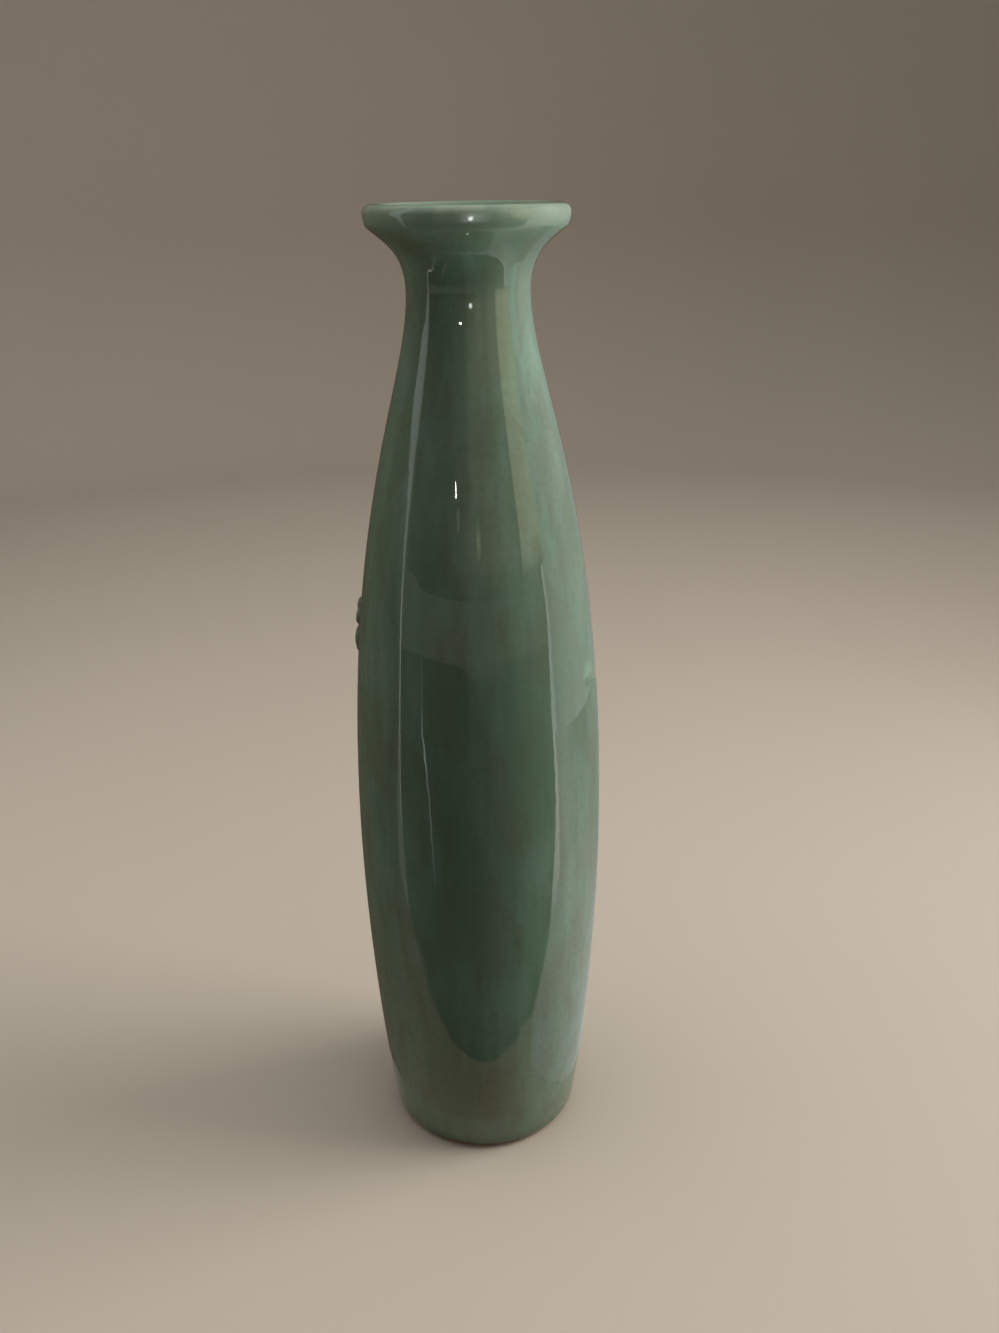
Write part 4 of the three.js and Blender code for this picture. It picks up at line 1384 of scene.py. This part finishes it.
def facing(turn, distance, height, tilt):
    """The place of a lamp that faces the vase's axis."""
    aim = turned_by(math.radians(turn), "Z")
    return aim @ moved_by(0, -distance, height) @ turned_by(math.radians(90 + tilt), "X")


key_aim = turned_by(math.radians(KEY_TURN), "Z") @ turned_by(math.radians(90 - KEY_RISE), "X")
key_place = moved_by(0, 0, KEY_MIDDLE) @ key_aim @ moved_by(0, 0, KEY_DISTANCE)
lamp("key", 870, 870, 13.2, PLAIN, key_place, 110)
lamp("overhead", 900, 900, 4.4, PLAIN, moved_by(0, 0, OVERHEAD_HEIGHT), 90)
for name, width, height, radiance, color, stand, spread in UPRIGHT_LAMPS:
    lamp(name, width, height, radiance, color, facing(*stand), spread)
bpy.data.objects["lamp_left"].visible_glossy = True
print("lamps:", 2 + len(UPRIGHT_LAMPS))

# %% [markdown]
# ## Sheets of light
# A glossy pot shows its lights as much as its colour. Window light and lit walls have soft sides as
# well as sharp ones, so what the glaze mirrors are sheets, each a grid of points with its own
# radiance at every point. The long edges of the bands are sharp, and the far sides fade out.

# %% A sheet on a grid
def light_sheet(name, points, radiance, color, diffuse=False):
    """A sheet with its own radiance at each point of its grid, seen by the gloss alone. A diffuse
    one also lights the surfaces before it, and is clear from behind."""
    sheet = grid_mesh(name, points, round_about=False, radiance=np.broadcast_to(radiance, points.shape[:2]))
    material, tree, _ = new_material(name)
    inputs = {"Strength": attribute(tree, "radiance"), "Color": (*color, 1)}
    shine = place(tree, "ShaderNodeEmission", inputs).outputs[0]
    end_with(tree, clear_behind(tree, shine) if diffuse else shine)
    sheet.data.materials.append(material)
    hide(sheet, "camera", "shadow")
    sheet.visible_diffuse = diffuse


def about(distance, turns, heights):
    """Points at a distance from the axis, for a row of turns in degrees at each height."""
    turns, heights = np.broadcast_arrays(np.radians(turns), np.array(heights, float)[:, None])
    return polar(distance, turns, heights)


def light_sheets(table):
    """Sheets from a table of names, colours, distances, turns and heights. The radiance is the sum
    of the layers that follow, each a number for every row times one for every column."""
    for name, color, distance, turns, heights, *layers in table:
        radiance = sum(np.outer(rows, columns) for rows, columns in layers)
        light_sheet(name, about(distance, turns, heights), radiance, color)


# %% [markdown]
# ## The bands on the right
# A tall, cool softbox makes the long bright band down the right side, with a thin bright line on its
# front edge, and a lit stretch of floor carries the band on to the foot. A warm, higher panel stands
# in front of it, and a faint warm light fills the middle.

# %% The softbox, the lit floor, the warm panel and the room
SOFTBOX_DISTANCE = 450
# the softbox's front edge: a height, and the turn of the edge there
FRONT_EDGE = [
    (2, 71.8), (42, 71.3), (86, 70.8), (108, 70.8), (130, 70.8), (149, 70.6), (161, 69.9), (171, 69.9),
    (188, 69.1), (200, 68.0), (700, 68.0),
]
LINE_TURNS = (0, 2.6, 2.8)
FAR_TURNS = (95, 110, 122, 135, 148, 160)
LOW_TOP = 190
HIGH_RADIANCE = [1.15, 1.15, 1.15, 1.15, 1.1, 0.95, 0.6, 0.4, 0.35]
LOW_RADIANCE = [2.1, 2.1, 1.2, 1.2, 0.98, 0.7, 0.5, 0.38, 0.33]
heights, front = np.array(FRONT_EDGE).T
turns = [front + turn for turn in LINE_TURNS] + [0 * front + turn for turn in FAR_TURNS]
radiance = np.where((heights < LOW_TOP)[:, None], LOW_RADIANCE, HIGH_RADIANCE)
light_sheet("right_softbox", about(SOFTBOX_DISTANCE, np.transpose(turns), heights), radiance, COOL)

# the lit floor: how far to the right, where its front edge lies, and how bright it and its line are
FLOOR_ALONG = [42, 70, 130, 200, 300, 450, 560]
FLOOR_EDGE = [(95, -69), (170, -70), (204, -81), (289, -104), (369, -125), (449, -150), (560, -189)]
FLOOR_FRONT = [0.6, 0.66, 0.82, 1.06, 1.14, 1.12, 0.85]
FLOOR_EDGE_LINE = [0, 0, 0, 0.9, 1.3, 1.3, 1.0]
# then how far back from the edge, and the share of both that is left there
FLOOR_DEPTH = np.array([0.0, 13, 16, 60, 150, 220, 300, 450])
FLOOR_FALL = [1, 1, 1, 1, 0.7, 0.4, 0.3, 0.3]
LINE_FALL = [1, 1, 0, 0, 0, 0, 0, 0]
FLOOR_LEAST = 0.3
edge = np.interp(FLOOR_ALONG, *np.transpose(FLOOR_EDGE))
points = np.stack(np.broadcast_arrays(FLOOR_ALONG, edge + FLOOR_DEPTH[:, None], 1.0), axis=-1)
radiance = np.maximum(np.outer(FLOOR_FALL, FLOOR_FRONT), FLOOR_LEAST) + np.outer(LINE_FALL, FLOOR_EDGE_LINE)
light_sheet("floor_glow", points, radiance, PLAIN, diffuse=True)

light_sheets([
    ("warm_panel", WARM, 420, [46.5, 72.5], [190, 206, 235, 560], ([0, 0.9, 1.6, 1.7], [1, 1])),
    ("room", ROOM_WARM, 950, [-70, -30, 0, 12, 30, 48, 80], [165, 215, 260, 850],
        ([0, 0.7, 1, 0.8], [0, 0.105, 0.336, 0.42, 0.42, 0.336, 0])),
])
print("the band's edge ends", -edge[-1].round(), "mm before the axis")

# %% [markdown]
# ## The floor at the foot
# The foot mirrors the floor close by. The outer edge of this dim patch rounds off the dark tongue
# in front, and behind it stands a wall that is nearly dark.

# %% The near floor and the dark wall
# the patch's outer edge: a distance, a turn and a radiance
NEAR_FLOOR = [
    (93, 40, 0.5), (75.5, 20, 0.4), (71.2, 0, 0.33), (75.5, -20, 0.3), (93, -40, 0.27), (124, -55, 0.23),
    (168, -65, 0.2), (206, -77, 0.13), (185, -86, 0.11), (166, -94, 0.1), (142, -110, 0.09),
    (118, -130, 0.08), (108, -150, 0.07), (112, -175, 0.07), (130, -195, 0.07),
]
NEAR_RADIUS = 43
NEAR_LIFT = 1.4
WALL_START = 7
WALL_REACH, WALL_TURN = 600, -96
WALL_HEIGHTS = [1.2, 1.2, 700]
out, turns, radiance = np.array(NEAR_FLOOR).T
near_points = about(np.stack([0 * out + NEAR_RADIUS, out]), turns, [NEAR_LIFT, NEAR_LIFT])
light_sheet("near_floor", near_points, radiance, ROOM_WARM)
out, turns = out[WALL_START:], turns[WALL_START:]
wall_out = np.stack([out, 0 * out + WALL_REACH, 0 * out + WALL_REACH])
wall_turns = np.stack([turns, turns, np.minimum(turns, WALL_TURN)])
light_sheet("dark_wall", about(wall_out, wall_turns, WALL_HEIGHTS), [[0.07], [0.06], [0.1]], ROOM_WARM)
print("the near floor reaches", NEAR_FLOOR[WALL_START][0], "mm out")

# %% [markdown]
# ## Ribbons and glints
# Two narrow strips draw the upright lines on the left, one of them broad at the top. Small sheets,
# some of them soft-edged, make the streaks and the glints on the lip, the neck and the shoulder.

# %% Ribbons and glints
# each row of a ribbon: a distance, a height, the turns of its two sides, and a radiance
RIBBONS = {
    "left_ribbon": [
        (330, 640, -94, -71.5, 1.1), (330, 315, -86.8, -71.5, 1.1), (330, 293, -82.7, -72.5, 1.1),
        (330, 245, -77.6, -72.5, 1.1), (330, 188, -75.1, -72.6, 1.2), (330, 150, -74.8, -73.2, 1.8),
        (330, 110, -74.3, -73.0, 2.2), (330, 28, -72.6, -71.5, 1.8), (330, 2, -72.4, -71.3, 1.4),
        (245, 1.6, -71.5, -70.2, 0.5),
    ],
    "thin_ribbon": [
        (330, 158, -49.3, -48.3, 0.2), (330, 90, -49.9, -48.8, 0.5), (330, 62, -49.9, -48.8, 1.6),
        (330, 38, -47.6, -46.5, 2.2), (330, 22, -46.9, -45.8, 1.2), (330, 2, -45.6, -44.6, 1.0),
        (263, 1.6, -43.7, -42.6, 0.9), (204, 1.6, -40.6, -39.6, 0.3),
    ],
}
GLINTS = [
    ("streak", WARM, 880, [4.8, 5.9, 6.6, 7.7], [252, 270, 290, 315, 352],
        ([0, 1, 1.3, 0.9, 0], [0, 1, 1, 0])),
    ("lamp_streak", COOL, 880, [-18.2, -17.3, -16.6, -15.7], [298, 335, 372],
        ([0, 0.8, 0], [0, 1, 1, 0])),
    ("lip_glint", COOL, 62, [-10, -1.5, 1.8, 2.8, 4.6, 5.6, 13, 24], [283, 287, 290, 294, 300, 310, 316],
        ([0, 0.8, 1, 1, 1, 0.8, 0], [0, 1.2, 2.2, 2.2, 2.2, 2.2, 1, 0]),
        ([0, 0, 1, 1, 0, 0, 0], [0, 0, 0, 13, 13, 0, 0, 0])),
    ("neck_glint", COOL, 22, [0.7, 1.7, 2.9, 3.9], [279, 279.4, 280, 280.4],
        ([0, 1, 1, 0], [0, 13, 13, 0])),
]
for name, rows in RIBBONS.items():
    rows = np.array(rows)
    light_sheet(name, about(rows[:, :1], rows[:, 2:4], rows[:, 1]), rows[:, 4:], COOL)
light_sheets(GLINTS)
print("ribbons and glints:", len(RIBBONS) + len(GLINTS))

# %% [markdown]
# ## The room's own light
# A little even light comes from everywhere, as it does in any room, and keeps the shadows open.

# %% World
ROOM_LIGHT = (0.26, 0.27, 0.28, 1)
world = bpy.data.worlds.new("room")
bpy.context.scene.world = world
world.use_nodes = True
background = world.node_tree.nodes["Background"]
background.inputs["Color"].default_value = ROOM_LIGHT
background.inputs["Strength"].default_value = 1.0
bpy.context.scene.view_settings.view_transform = "Standard"
print("the room's light is set")
